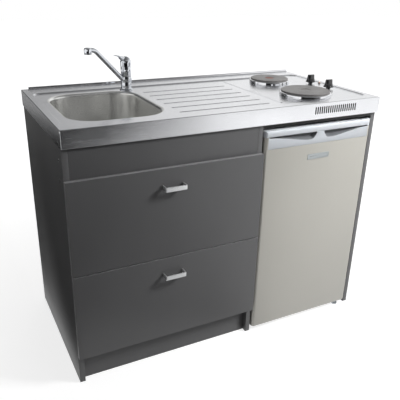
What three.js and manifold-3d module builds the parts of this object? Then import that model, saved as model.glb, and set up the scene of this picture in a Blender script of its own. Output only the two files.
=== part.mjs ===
// Compact kitchenette, 1200 mm wide: a one-piece stainless worktop with sink, drainer and two sealed
// hotplates on a board carcass with a fixed fascia, two pull-outs and an under-counter refrigerator.
// Millimetres, +Z up. Inside this file x runs from the worktop's left end, y from its front edge
// towards the back, and z from the floor; the group at the end is centred on its footprint.

import * as THREE from 'three';
import { mergeVertices } from 'three/addons/utils/BufferGeometryUtils.js';
import Module from 'manifold-3d';

const wasm = await Module();
wasm.setup();

// ---------------------------------------------------------------- driving dimensions

// worktop
const worktopWidth = 1200;
const worktopDepth = 600;
const worktopHeight = 910;
const apronHeight = 58;
const rearApronHeight = 30;
const apronReturn = 8;
const sheet = 1.2;
const foldRadius = 2;
const fieldDrop = 4;
const fieldSlope = 5;
const fieldFront = 36;
const fieldRear = 84;
const fieldCorner = 30;
const lipHeight = 8;
const lipThickness = 6;
const lipStart = 26;

// carcass boards
const board = 19;
const frontBoard = 16;
const backBoard = 3.2;
const endInset = 2;
const panelSetback = 11;
const cabinetWidth = 691;
const plinthHeight = 100;
const plinthSetback = 20;
const backSetback = 20;
const backHeight = 460;
const railHeight = 90;
const rimMargin = 1;

// drawer fronts and fascia
const frontHeight = 320;
const frontGap = 4;
const frontOverlap = 8;
const frontBuffer = 0.5;
const fasciaOverlap = 16;
const fasciaTopDrop = 30;
const handleWidth = 76;
const handleFace = 16;
const handleReach = 30;
const handleGauge = 4.5;
const handleDrop = 62;

// drawer boxes and runners
const runnerHeight = 34;
const runnerDepth = 12;
const runnerLength = 500;
const runnerGauge = 1.5;
const rollerRadius = 9;
const drawerSideHeight = 118;
const drawerLift = 14;
const drawerGauge = 1.6;
const drawerFlange = 14;
const runningGap = 0.3;

// sink bowl
const bowlWidth = 316;
const bowlDepth = 388;
const bowlDrop = 150;
const bowlCorner = 90;
const bowlMarginLeft = 59.5;
const bowlMarginFront = 81;
const bowlRoll = 10;
const bowlDraft = 6;
const bowlFoot = 45;

// waste, plug, trap and overflow
const wasteBore = 22;
const wasteFlange = 35;
const wasteSeat = 2.5;
const wasteLength = 52;
const trapRadius = 32;
const trapLength = 96;
const outletRadius = 20;
const overflowDrop = 34;
const overflowRadius = 9;
const plugLift = 7;
const branchDrop = 20;
const branchReach = 20;

// drainer ribs and the ridge beside the hob
const ribCount = 6;
const ribPitch = 65;
const ribFirst = 80;
const ribGap = 32.5;
const ribEndGap = 40;
const ribWidth = 9;
const ribHeight = 2.4;
const ridgeInset = 400;
const ridgeWidth = 14;
const ridgeHeight = 2.2;
const ridgeMargin = 26;

// hob
const plateFrontInset = 237;
const plateFrontY = 146;
const plateFrontRadius = 92.5;
const plateRearInset = 225;
const plateRearY = 407;
const plateRearRadius = 77.5;
const plateTop = 20;
const plateRim = 6;
const ringFlare = 5.5;
const knobInset = 75;
const knobFrontY = 207;
const knobRearY = 322;
const knobRadius = 20;
const knobHeight = 38;
const knobNeck = 9;
const spindleRadius = 3;
const switchSize = 40;
const switchHeight = 28;
const lampInset = 36;
const lampY = 312;
const lampRadius = 5;
const lampHeight = 8;
const trayDepth = 42;
const trayMargin = 12;
const slotCount = 20;
const slotInset = 116.5;
const slotPitch = 9.5;
const slotWidth = 3.6;
const slotHeight = 27;
const slotDrop = 13;

// tap
const tapInset = 5.5;
const tapBehindBowl = 11;
const tapBodyRadius = 19.5;
const tapBaseRadius = 25;
const tapBodyHeight = 88;
const tapShank = 16;
const tapBall = 17.6;
const tapPivotHeight = 100;
const spoutTurn = 20;
const spoutReach = 168;
const spoutHeight = 159;
const spoutRadius = 8.5;
const spoutRise = 43.7;
const spoutBend = 40;
const spoutRoot = 18;
const spoutRootRise = 12;
const outletHead = 13.5;
const collarBottom = 30;
const collarHeight = 22;
const leverReach = 54;
const leverWidth = 17;
const leverLift = 20;
const leverShoulder = tapPivotHeight + 4;
const leverCrown = 21;
const leverRoot = 20.5;

// refrigerator
const fridgeClearance = 5.5;
const fridgeBase = 20;
const fridgeTop = 828;
const fridgeBack = 506;
const doorThickness = 40;
const doorBottom = 22;
const doorCorner = 12;
const gasketThickness = 5.4;
const capHeight = 22;
const trimHeight = 44;
const gripDepth = 18;
const scoopTab = 16;
const scoopDeepest = 56;
const scoopDepth = 26;
const wall = 36;
const cavityFloor = 60;
const cavityBack = 470;
const humpHeight = 190;
const humpDepth = 156;
const freezerFloor = 660;
const freezerFront = 200;
const flapThickness = 10;
const shelfHeight = 430;
const hingeInset = 15;
const hingeY = 19;
const hingePin = 4;
const hingePlate = 3;
const footRadius = 10;
const engineWall = 20;
const engineRoof = 22;
const thermostatY = 150;
const thermostatZ = 600;
const thermostatDepth = 22;
const thermostatHalf = 40;
const thermostatRadius = 16;
const linerDepth = 12;
const doorShelfHeights = [110, 330, 520];
const doorShelfReaches = [74, 60, 60];
const doorShelfHeight = 62;
const doorShelfWall = 4;
const shelfSetback = 26;
const shelfThickness = 4;
const crisperHeight = 150;
const crisperSetback = 80;
const crisperWall = 2.6;
const compressorRadius = 60;
const compressorHeight = 131;
const condenserRuns = 9;
const condenserMargin = 80;
const condenserBottom = 250;
const nicheRailGap = 10;
const nicheRailHeight = 46;

// ---------------------------------------------------------------- places worked out from them

const fieldSide = endInset + board + rimMargin;
const fieldTop = worktopHeight - fieldDrop;
const fieldUnder = fieldTop - sheet;
const rimUnder = worktopHeight - sheet;
const apronBottom = worktopHeight - apronHeight;
const panelRear = worktopDepth - lipThickness;
const insideLeft = endInset + board;
const partitionX = endInset + cabinetWidth - board;
const nicheLeft = endInset + cabinetWidth;
const nicheRight = worktopWidth - endInset - board;
const insideWidth = partitionX - insideLeft;
const floorTop = plinthHeight + board;
const lowerFrontBottom = plinthHeight + frontOverlap;
const upperFrontBottom = lowerFrontBottom + frontHeight + frontGap;
const upperFrontTop = upperFrontBottom + frontHeight;
const frontBackFace = panelSetback - frontBuffer;
const frontFace = frontBackFace - frontBoard;
const bowlX = bowlMarginLeft + bowlWidth / 2;
const bowlY = bowlMarginFront + bowlDepth / 2;
const bowlTop = fieldTop - bowlRoll;
const bowlBottom = fieldTop - bowlDrop;
const bowlRight = bowlMarginLeft + bowlWidth;
const bowlRear = bowlMarginFront + bowlDepth;
const tapX = bowlRight - tapInset;
const tapY = bowlRear + tapBehindBowl;
const ridgeX = worktopWidth - ridgeInset;
const ribStart = bowlRight + ribGap;
const ribLength = ridgeX - ribEndGap - ribStart;
const plateFrontX = worktopWidth - plateFrontInset;
const plateRearX = worktopWidth - plateRearInset;
const knobX = worktopWidth - knobInset;
const lampX = worktopWidth - lampInset;
const slotFirst = worktopWidth - slotInset - (slotCount - 1) * slotPitch;
const overflowZ = fieldTop - overflowDrop;
const backY = panelRear - backSetback;
const fridgeX = nicheLeft + fridgeClearance;
const fridgeWidth = nicheRight - nicheLeft - 2 * fridgeClearance;
const hingeX = fridgeWidth - hingeInset;

// ---------------------------------------------------------------- solids

/** Turns a closed geometry into a solid, with shared corners joined and empty triangles dropped. */
function solid(geometry) {
  geometry.deleteAttribute('normal');
  geometry.deleteAttribute('uv');
  const joined = mergeVertices(geometry, 1e-4);
  const corners = joined.index.array;
  const kept = [];
  for (let i = 0; i < corners.length; i += 3) {
    const [a, b, c] = corners.slice(i, i + 3);
    if (a !== b && b !== c && c !== a) kept.push(a, b, c);
  }
  return new wasm.Manifold(new wasm.Mesh({
    numProp: 3,
    vertProperties: joined.attributes.position.array,
    triVerts: new Uint32Array(kept),
  }));
}

/** Box between two values on each axis. */
function box(x0, x1, y0, y1, z0, z1) {
  const geometry = new THREE.BoxGeometry(x1 - x0, y1 - y0, z1 - z0);
  return solid(geometry.translate((x0 + x1) / 2, (y0 + y1) / 2, (z0 + z1) / 2));
}

/** Straight extrusion of an outline: its two coordinates and its length go to the axes given. */
function extrude(outline, length, acrossAxis, upAxis, alongAxis, origin) {
  const shape = new THREE.Shape(outline.map(([a, b]) => new THREE.Vector2(a, b)));
  const geometry = new THREE.ExtrudeGeometry(shape, { depth: length, bevelEnabled: false, steps: 1 });
  geometry.applyMatrix4(new THREE.Matrix4().makeBasis(acrossAxis, upAxis, alongAxis));
  return solid(geometry.translate(...origin));
}

const alongX = new THREE.Vector3(1, 0, 0);
const alongY = new THREE.Vector3(0, 1, 0);
const alongZ = new THREE.Vector3(0, 0, 1);
const towardsFront = new THREE.Vector3(0, -1, 0);

/** Outline of (y, z) points run from x0 to x1. */
function beam(outline, x0, x1) {
  return extrude(outline, x1 - x0, alongY, alongZ, alongX, [x0, 0, 0]);
}

/** Outline of (x, z) points run from y0 to y1. */
function rail(outline, y0, y1) {
  return extrude(outline, y1 - y0, alongX, alongZ, towardsFront, [0, y1, 0]);
}

/** Outline of (x, y) points run from z0 to z1. */
function slab(outline, z0, z1) {
  return extrude(outline, z1 - z0, alongX, alongY, alongZ, [0, 0, z0]);
}

/** Revolves (radius, height) points about the vertical line through (x, y); heights start at z. */
function turned(points, x, y, z, segments = 24) {
  const outline = points.map(([r, h]) => new THREE.Vector2(r, h));
  const upwards = THREE.ShapeUtils.area(outline) > 0 ? outline : outline.slice().reverse();
  const closed = points[0][0] === 0 ? upwards : [...upwards, upwards[0]];
  const geometry = new THREE.LatheGeometry(closed, segments);
  return solid(geometry.rotateX(Math.PI / 2).translate(x, y, z));
}

/** Upright cylinder. */
function post(radius, x, y, z0, z1, segments = 20) {
  return turned([[0, 0], [radius, 0], [radius, z1 - z0], [0, z1 - z0]], x, y, z0, segments);
}

/** Cylinder whose axis runs along x. */
function axle(radius, y, z, x0, x1, segments = 16) {
  const geometry = new THREE.CylinderGeometry(radius, radius, x1 - x0, segments);
  return solid(geometry.rotateZ(Math.PI / 2).translate((x0 + x1) / 2, y, z));
}

/** Cylinder whose axis runs along y. */
function spigot(radius, x, z, y0, y1, segments = 16) {
  const geometry = new THREE.CylinderGeometry(radius, radius, y1 - y0, segments);
  return solid(geometry.translate(x, (y0 + y1) / 2, z));
}

/** Stack of level outlines with equal numbers of points, joined by sloping walls. */
function loft(levels) {
  const count = levels[0].loop.length;
  const faces = [];
  for (let level = 0; level < levels.length - 1; level += 1) {
    for (let i = 0; i < count; i += 1) {
      const a = level * count + i;
      const b = level * count + ((i + 1) % count);
      faces.push(a, b, b + count, a, b + count, a + count);
    }
  }
  const cap = ({ loop }) => THREE.ShapeUtils.triangulateShape(
    loop.map(([x, y]) => new THREE.Vector2(x, y)), []);
  const top = (levels.length - 1) * count;
  cap(levels[0]).forEach(([a, b, c]) => faces.push(a, c, b));
  cap(levels.at(-1)).forEach(([a, b, c]) => faces.push(top + a, top + b, top + c));
  const corners = levels.flatMap(({ loop, z }) => loop.flatMap(([x, y]) => [x, y, z]));
  const geometry = new THREE.BufferGeometry();
  geometry.setAttribute('position', new THREE.Float32BufferAttribute(corners, 3));
  geometry.setIndex(faces);
  return solid(geometry);
}

/** Path that runs straight from station to station. */
class Route extends THREE.Curve {
  constructor(stations) {
    super();
    this.stations = stations;
    this.headings = stations.slice(1).map((station, i) => station.clone().sub(stations[i]).normalize());
  }

  getPointAt(share) {
    return this.stations[Math.round(share * this.headings.length)].clone();
  }

  getTangentAt(share) {
    const i = Math.round(share * this.headings.length);
    const before = this.headings[Math.max(i - 1, 0)];
    const after = this.headings[Math.min(i, this.headings.length - 1)];
    return before.clone().add(after).normalize();
  }
}

/** Round bar through (x, z) points in the plane at depth y. */
function bar(points, y, radius, sides) {
  const section = new THREE.Shape(Array.from({ length: sides }, (_, i) => {
    const turn = (i / sides) * 2 * Math.PI;
    return new THREE.Vector2(radius * Math.cos(turn), radius * Math.sin(turn));
  }));
  const extrudePath = new Route(points.map(([x, z]) => new THREE.Vector3(x, y, z)));
  const steps = points.length - 1;
  return solid(new THREE.ExtrudeGeometry(section, { steps, extrudePath, bevelEnabled: false }));
}

/** Points of an arc in the (x, z) plane, angles in quarter turns. */
function arc(x, z, radius, from, to, steps) {
  return Array.from({ length: steps + 1 }, (_, i) => {
    const turn = (from + (i / steps) * (to - from)) * (Math.PI / 2);
    return [x + radius * Math.cos(turn), z + radius * Math.sin(turn)];
  });
}

/** Rectangle with round corners, counter-clockwise, about a centre. */
function roundedRectangle(x, y, width, depth, radius, steps = 6) {
  const corners = [[1, -1], [1, 1], [-1, 1], [-1, -1]];
  return corners.flatMap(([sx, sy], quarter) => Array.from({ length: steps + 1 }, (_, i) => {
    const turn = (quarter - 1 + i / steps) * (Math.PI / 2);
    return [
      x + sx * (width / 2 - radius) + radius * Math.cos(turn),
      y + sy * (depth / 2 - radius) + radius * Math.sin(turn),
    ];
  }));
}

const join = (...solids) => solids.reduce((all, next) => all.add(next));
const cut = (body, ...tools) => tools.reduce((left, tool) => left.subtract(tool), body);

/** A named piece with its own material. */
function piece(name, body, [colour, roughness, metalness]) {
  const { vertProperties, triVerts } = body.getMesh();
  const geometry = new THREE.BufferGeometry();
  geometry.setAttribute('position', new THREE.BufferAttribute(vertProperties, 3));
  geometry.setIndex(new THREE.BufferAttribute(triVerts, 1));
  geometry.computeVertexNormals();
  const material = new THREE.MeshStandardMaterial({ color: colour, roughness, metalness });
  const mesh = new THREE.Mesh(geometry, material);
  mesh.name = name;
  return mesh;
}

function group(x, y, z, ...members) {
  const result = new THREE.Group();
  result.position.set(x, y, z);
  result.add(...members);
  return result;
}

// colour, roughness, metalness
const greyBoard = [0x55575a, 0.55, 0];
const rawBoard = [0xb8a88c, 0.8, 0];
const brushedSteel = [0xb9bcbe, 0.3, 1];
const polishedSteel = [0xd8dadc, 0.12, 1];
const chrome = [0xe4e6e8, 0.06, 1];
const zincSteel = [0xa9adb0, 0.45, 0.9];
const satinMetal = [0xc3c5c6, 0.32, 1];
const castIron = [0x4b4a48, 0.7, 0.6];
const blackPlastic = [0x151517, 0.35, 0];
const whitePlastic = [0xe9ebea, 0.4, 0];
const greyPlastic = [0x9ea1a3, 0.5, 0];
const fridgeSkin = [0xb7b5ab, 0.35, 0.35];
const fridgeTrim = [0xc3c7ca, 0.35, 0.2];
const rubber = [0x8f9294, 0.8, 0];
const clearGlass = [0xcfe3dd, 0.08, 0];
const amberLens = [0xd9722b, 0.2, 0];
const blackSteel = [0x202224, 0.5, 0.6];

// ---------------------------------------------------------------- carcass

function carcass() {
  const panelTop = rimUnder;
  const boards = [
    ['side_panel_left', box(endInset, insideLeft, panelSetback, panelRear, 0, panelTop)],
    ['side_panel_right', box(nicheRight, nicheRight + board, panelSetback, panelRear, 0, panelTop)],
    ['partition_panel', box(partitionX, nicheLeft, panelSetback, panelRear, 0, fieldUnder)],
    ['cabinet_floor', box(insideLeft, partitionX, panelSetback, backY, plinthHeight, floorTop)],
    ['plinth_board', plinth()],
    ['fascia_panel', fascia()],
    ['rear_rail', box(insideLeft, partitionX, backY - board, backY, apronBottom - railHeight, apronBottom)],
    ['niche_rail', nicheRail()],
  ];
  const back = box(insideLeft, partitionX, backY, backY + backBoard, plinthHeight, plinthHeight + backHeight);
  return group(0, 0, 0,
    ...boards.map(([name, body]) => piece(name, body, greyBoard)),
    piece('cabinet_back', back, rawBoard));
}

/** Recessed plinth with two blocks that brace it under the cabinet floor. */
function plinth() {
  const face = panelSetback + plinthSetback;
  const front = box(insideLeft, partitionX, face, face + board, 0, plinthHeight);
  const blocks = [0.25, 0.75].map((share) => {
    const x = insideLeft + share * insideWidth;
    return box(x - board, x + board, face + board, face + 3 * board, plinthHeight - 2 * board, plinthHeight);
  });
  return join(front, ...blocks);
}

/** Fixed board above the pull-outs; the upper front closes against its lower edge. */
function fascia() {
  const bottom = upperFrontTop - fasciaOverlap;
  const top = worktopHeight - fasciaTopDrop;
  return box(insideLeft, partitionX, panelSetback, panelSetback + board, bottom, top);
}

/** Rail that ties the partition to the end panel above the refrigerator. */
function nicheRail() {
  const bottom = fridgeTop + nicheRailGap;
  return box(nicheLeft, nicheRight, panelSetback, panelSetback + board, bottom, bottom + nicheRailHeight);
}

// ---------------------------------------------------------------- worktop

/** Block whose four upper edges are rounded like a folded sheet. */
function foldedBlock(inset, bottom, top, radius) {
  const steps = 3;
  const crown = (from, to) => {
    const arc = Array.from({ length: steps + 1 }, (_, i) => (i / steps) * (Math.PI / 2));
    return [
      [from, bottom],
      [to, bottom],
      ...arc.map((a) => [to - radius + radius * Math.cos(a), top - radius + radius * Math.sin(a)]),
      ...arc.map((a) => [from + radius - radius * Math.sin(a), top - radius + radius * Math.cos(a)]),
    ];
  };
  const across = rail(crown(inset, worktopWidth - inset), inset, worktopDepth - inset);
  const deep = beam(crown(inset, worktopDepth - inset), inset, worktopWidth - inset);
  return across.intersect(deep);
}

/** Space above the pressed field, from its floor up to a height. */
function fieldSpace(drop) {
  const x = worktopWidth / 2;
  const y = (fieldFront + worktopDepth - fieldRear) / 2;
  const width = worktopWidth - 2 * fieldSide;
  const depth = worktopDepth - fieldFront - fieldRear;
  const loop = (inset) => roundedRectangle(
    x, y, width - 2 * inset, depth - 2 * inset, Math.max(fieldCorner - inset, 1), 5);
  return loft([
    { loop: loop(fieldSlope), z: fieldTop - drop },
    { loop: loop(0), z: worktopHeight - drop },
    { loop: loop(0), z: worktopHeight + lipHeight },
  ]);
}

/** Pressed bead with sloping flanks, standing on the field. */
function bead(x, y, width, depth, height, shrink) {
  const round = Math.min(width, depth) / 2;
  const loop = (inset) => roundedRectangle(
    x, y, width - 2 * inset, depth - 2 * inset, round - inset, 2);
  return loft([
    { loop: loop(shrink), z: fieldUnder - 1 },
    { loop: loop(shrink), z: fieldTop - shrink },
    { loop: loop(shrink + round * 0.6), z: fieldTop - shrink + height },
  ]);
}

/** Centres and sizes of the drainer ribs and of the ridge beside the hob. */
function beads() {
  const ribs = Array.from({ length: ribCount }, (_, i) => (
    [ribStart + ribLength / 2, ribFirst + i * ribPitch, ribLength, ribWidth, ribHeight]));
  const front = fieldFront + ridgeMargin;
  const rear = worktopDepth - fieldRear - ridgeMargin;
  return [...ribs, [ridgeX, (front + rear) / 2, ridgeWidth, rear - front, ridgeHeight]];
}

/** Bowl outline at an inset from the opening. */
function bowlLoop(inset) {
  return roundedRectangle(
    bowlX, bowlY, bowlWidth - 2 * inset, bowlDepth - 2 * inset, bowlCorner - inset, 5);
}

/** Rolled edge from the field into the bowl: levels of a quarter turn about the same centre line. */
function rollLevels(radius) {
  const steps = 4;
  return Array.from({ length: steps + 1 }, (_, i) => {
    const turn = (i / steps) * (Math.PI / 2);
    return {
      loop: bowlLoop(radius * Math.cos(turn) - bowlRoll),
      z: bowlTop + radius * Math.sin(turn),
    };
  });
}

function worktopSheet() {
  const outer = foldedBlock(0, apronBottom, worktopHeight, foldRadius);
  const hollow = foldedBlock(sheet, apronBottom - 1, rimUnder, foldRadius - sheet);
  const pan = cut(hollow, fieldSpace(sheet));
  const shell = cut(outer, fieldSpace(0), pan, rearCutaway());
  const folded = join(shell, rearLip(), frontReturn());
  const ribbed = beads().reduce((top, [x, y, w, d, h]) => cut(
    join(top, bead(x, y, w, d, h, 0).intersect(aboveField())),
    bead(x, y, w, d, h, sheet)), folded);
  return cut(join(cut(ribbed, bowlCutout()), bowlEdge()), ...deckHoles(), ...ventSlots());
}

/** Everything higher than the middle of the field's sheet. */
function aboveField() {
  return box(0, worktopWidth, 0, worktopDepth, fieldTop - sheet / 2, worktopHeight + lipHeight);
}

function rearCutaway() {
  return box(sheet, worktopWidth - sheet, worktopDepth - sheet - 1, worktopDepth + 1,
    apronBottom - 1, worktopHeight - rearApronHeight);
}

/** Splash lip along the rear edge, with a round top. */
function rearLip() {
  const steps = 4;
  const middle = worktopDepth - lipThickness / 2;
  const crown = Array.from({ length: steps + 1 }, (_, i) => {
    const turn = (i / steps) * Math.PI;
    return [middle + lipThickness / 2 * Math.cos(turn),
      worktopHeight + lipHeight - lipThickness / 2 + lipThickness / 2 * Math.sin(turn)];
  });
  const foot = worktopHeight - foldRadius;
  const outline = [[worktopDepth - lipThickness, foot], [worktopDepth, foot], ...crown];
  return beam(outline, lipStart, worktopWidth - foldRadius);
}

/** Hem folded back along the lower edge of the front apron. */
function frontReturn() {
  return box(sheet / 2, worktopWidth - sheet / 2, sheet / 2, apronReturn, apronBottom, apronBottom + sheet);
}

function bowlCutout() {
  return slab(bowlLoop(-bowlRoll), fieldUnder - 1, worktopHeight + 1);
}

/** Rolled lip of the bowl opening, one sheet thick. */
function bowlEdge() {
  const under = rollLevels(bowlRoll - sheet);
  const skin = rollLevels(bowlRoll);
  const outside = under.map(({ loop, z }) => ({ loop, z }));
  const body = loft([...outside.slice(0, -1), { loop: bowlLoop(-bowlRoll), z: fieldUnder },
    { loop: bowlLoop(-bowlRoll), z: fieldTop }]);
  const mouth = loft([{ loop: skin[0].loop, z: bowlTop - 1 }, ...skin,
    { loop: bowlLoop(-bowlRoll), z: fieldTop + 1 }]);
  return cut(body, mouth);
}

/** Holes for the tap, the plates, the knob spindles and the lamp. */
function deckHoles() {
  const high = worktopHeight + 1;
  const low = fieldUnder - 1;
  return [
    post(tapShank + 1, tapX, tapY, low, high),
    post(plateFrontRadius - 6, plateFrontX, plateFrontY, low, high, 28),
    post(plateRearRadius - 6, plateRearX, plateRearY, low, high, 28),
    post(spindleRadius + 2.5, knobX, knobFrontY, low, high, 16),
    post(spindleRadius + 2.5, knobX, knobRearY, low, high, 16),
    post(lampRadius, lampX, lampY, low, high, 16),
  ];
}

/** Row of upright ventilation slots in the front apron. */
function ventSlots() {
  const top = worktopHeight - slotDrop;
  const half = slotWidth / 2;
  return Array.from({ length: slotCount }, (_, i) => {
    const x = slotFirst + i * slotPitch;
    const outline = [[x - half, top - slotHeight + half], [x, top - slotHeight],
      [x + half, top - slotHeight + half], [x + half, top - half], [x, top], [x - half, top - half]];
    return rail(outline, -1, sheet + 1);
  });
}

// ---------------------------------------------------------------- sink

/** Levels of the bowl skin: drawn wall, then a quarter turn into the flat bottom. */
function bowlLevels(offset) {
  const steps = 4;
  const foot = Array.from({ length: steps + 1 }, (_, i) => {
    const turn = (i / steps) * (Math.PI / 2);
    return {
      loop: bowlLoop(bowlDraft + bowlFoot - (bowlFoot + offset) * Math.cos(turn)),
      z: bowlBottom + bowlFoot - (bowlFoot + offset) * Math.sin(turn),
    };
  });
  return [...foot.reverse(), { loop: bowlLoop(-offset), z: bowlTop }];
}

function sinkBowl() {
  const outside = loft(bowlLevels(sheet));
  const inside = loft([...bowlLevels(0), { loop: bowlLoop(0), z: bowlTop + 1 }]);
  const seatRadius = wasteFlange + 1;
  const dish = post(seatRadius + sheet, bowlX, bowlY,
    bowlBottom - wasteSeat - sheet, bowlBottom - sheet / 2, 24);
  const seat = post(seatRadius, bowlX, bowlY, bowlBottom - wasteSeat, bowlBottom + 1, 24);
  const hole = post(wasteBore + 4, bowlX, bowlY, bowlBottom - 2 * wasteSeat - sheet, bowlBottom);
  const overflow = axle(overflowRadius + 0.5, bowlY, overflowZ,
    bowlMarginLeft - bowlRoll, bowlMarginLeft + 2 * bowlRoll);
  return cut(join(cut(outside, inside), dish), seat, hole, overflow);
}

/** How far the drawn wall leans in from the opening at a height. */
function wallLean(z) {
  return bowlDraft * (bowlTop - z) / (bowlTop - bowlBottom - bowlFoot);
}

function sinkParts() {
  return group(0, 0, 0,
    piece('sink_bowl', sinkBowl(), brushedSteel),
    piece('waste_flange', wasteFlangeBody(), polishedSteel),
    piece('sink_plug', plug(), polishedSteel),
    piece('waste_body', wasteBody(), whitePlastic),
    piece('bottle_trap', bottleTrap(), whitePlastic),
    piece('overflow_pipe', overflowPipe(), greyPlastic));
}

/** Dished ring that sits in the bowl's seat, with its tail through the hole. */
function wasteFlangeBody() {
  const seat = bowlBottom - wasteSeat;
  const tail = -wasteSeat - sheet - 18;
  const outline = [[wasteBore, tail], [wasteBore + 3, tail], [wasteBore + 3, 0], [wasteFlange, 0],
    [wasteFlange, 0.8], [wasteFlange - 3, 2.2], [wasteBore + 4, 1.6], [wasteBore, -2.4]];
  return turned(outline, bowlX, bowlY, seat);
}

/** Plug with a pull knob on top and crossed guide fins below, resting on the flange's cone. */
function plug() {
  const seat = bowlBottom - wasteSeat;
  const outline = [[0, -2.4], [wasteBore - 1, -2.4], [wasteBore + 3, 1.8], [wasteBore + 2, 3], [4, 2],
    [3, plugLift], [6, plugLift + 2], [6, plugLift + 4.5], [0, plugLift + 5.5]];
  const fin = wasteBore - 3;
  return join(
    turned(outline, bowlX, bowlY, seat, 24),
    box(bowlX - fin, bowlX + fin, bowlY - 1, bowlY + 1, seat - 13, seat - 2),
    box(bowlX - 1, bowlX + 1, bowlY - fin, bowlY + fin, seat - 13, seat - 2));
}

/** Clamping body under the bowl, with the side branch for the overflow. */
function wasteBody() {
  const top = bowlBottom - wasteSeat - sheet;
  const sleeve = wasteBore + 6;
  const shell = turned([[0, -wasteLength], [outletRadius, -wasteLength], [outletRadius, -40], [sleeve, -30],
    [sleeve, -4], [wasteFlange, -3], [wasteFlange, 0], [0, 0]], bowlX, bowlY, top, 24);
  const branchEnd = bowlX - wasteBore - branchReach;
  const branch = axle(overflowRadius + 2, bowlY, top - branchDrop, branchEnd, bowlX, 16);
  const bore = turned([[0, -wasteLength - 1], [outletRadius - 3, -wasteLength - 1],
    [outletRadius - 3, -38], [wasteBore + 3.3, -28], [wasteBore + 3.3, 1], [0, 1]], bowlX, bowlY, top, 24);
  const branchBore = axle(overflowRadius - 2, bowlY, top - branchDrop, branchEnd - 1, bowlX, 12);
  return cut(join(shell, branch), bore, branchBore);
}

/** Bottle trap: coupling nut, cup with its screw cap, and the outlet to the wall. */
function bottleTrap() {
  const top = bowlBottom - wasteSeat - sheet - wasteLength;
  const nut = outletRadius + 8;
  const cup = turned([[0, -trapLength], [trapRadius - 6, -trapLength], [trapRadius, -trapLength + 6],
    [trapRadius, -trapLength + 18], [trapRadius - 3, -trapLength + 20], [trapRadius - 3, -26],
    [outletRadius, -20], [outletRadius, -16], [nut, -14], [nut, 0], [0, 0]], bowlX, bowlY, top, 20);
  const outletZ = top - 44;
  const outlet = spigot(outletRadius, bowlX, outletZ, bowlY, panelRear);
  const outletNut = spigot(outletRadius + 7, bowlX, outletZ, bowlY + trapRadius - 6, bowlY + trapRadius + 14);
  const mouth = spigot(outletRadius - 2.5, bowlX, outletZ, bowlY + trapRadius + 20, panelRear + 1);
  return cut(join(cup, outlet, outletNut), mouth);
}

/** Overflow face in the bowl, elbow behind the wall and the pipe down to the waste body. */
function overflowPipe() {
  const faceRadius = overflowRadius + 6;
  const inner = bowlMarginLeft + wallLean(overflowZ - faceRadius) + 0.1;
  const outer = bowlMarginLeft + wallLean(overflowZ + faceRadius) - sheet - runningGap;
  const face = axle(faceRadius, bowlY, overflowZ, inner, inner + 2);
  const neck = axle(overflowRadius, bowlY, overflowZ, outer - 8, inner + 1);
  const elbow = axle(faceRadius, bowlY, overflowZ, outer - 11, outer);
  const inletZ = bowlBottom - wasteSeat - sheet - branchDrop;
  const branchEnd = bowlX - wasteBore - branchReach - runningGap;
  const pipeX = outer - 8;
  const bend = 34;
  const path = [[pipeX, overflowZ], ...arc(pipeX + bend, inletZ + bend, bend, 2, 3, 5), [branchEnd, inletZ]];
  const slots = [-1, 0, 1].map((row) => box(inner - 4, inner + 3, bowlY - 7, bowlY + 7,
    overflowZ + row * 5 - 1.2, overflowZ + row * 5 + 1.2));
  return cut(join(face, neck, elbow, bar(path, bowlY, overflowRadius - 1, 10)), ...slots);
}

// ---------------------------------------------------------------- hob

/** Cast-iron plate: dished centre, flat heating face, rim, and a body through the worktop. */
function hotplate(x, y, radius) {
  const rimUnderside = plateTop - plateRim;
  const body = radius - 8;
  return turned([[0, -10], [body, -10], [body, rimUnderside], [radius, rimUnderside],
    [radius, plateTop - 1.5], [radius - 1.5, plateTop], [22, plateTop], [20, plateTop - 1.5],
    [0, plateTop - 1.5]], x, y, fieldTop, 28);
}

/** Polished ring from under the plate's rim out and down to the worktop. */
function spillRing(x, y, radius) {
  const top = plateTop - plateRim;
  const flange = radius - 5;
  const foot = radius + ringFlare;
  return turned([[flange, top - 1], [flange, top], [radius + 1.5, top], [radius + 4.5, top - 2.5],
    [foot, 0], [foot - 1.2, 0], [radius + 3.4, top - 3.6], [radius + 1, top - 1]], x, y, fieldTop, 28);
}

/** Rotary knob: neck, skirt and a tapering grip, with its spindle down into the switch. */
function knob(y) {
  const skirtBottom = 8;
  const skirtTop = 12;
  const skirt = turned([[0, 1], [knobNeck, 1], [knobNeck, skirtBottom], [knobRadius, skirtBottom],
    [knobRadius, skirtTop - 1], [knobRadius - 1, skirtTop], [0, skirtTop]], knobX, y, fieldTop);
  const level = (width, depth, radius, height) => (
    { loop: roundedRectangle(knobX, y, width, depth, radius, 3), z: fieldTop + height });
  const grip = loft([
    level(knobRadius * 1.9, knobRadius * 1.9, knobRadius * 0.94, skirtTop - 0.5),
    level(knobRadius * 1.78, knobRadius * 1.2, knobRadius * 0.55, skirtTop + 4),
    level(knobRadius * 1.62, knobRadius * 0.72, knobRadius * 0.3, knobHeight - 5),
    level(knobRadius * 1.5, knobRadius * 0.6, knobRadius * 0.25, knobHeight),
  ]);
  const spindle = post(spindleRadius, knobX, y, fieldUnder - 16, fieldTop + skirtBottom, 16);
  return join(skirt, grip, spindle);
}

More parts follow.
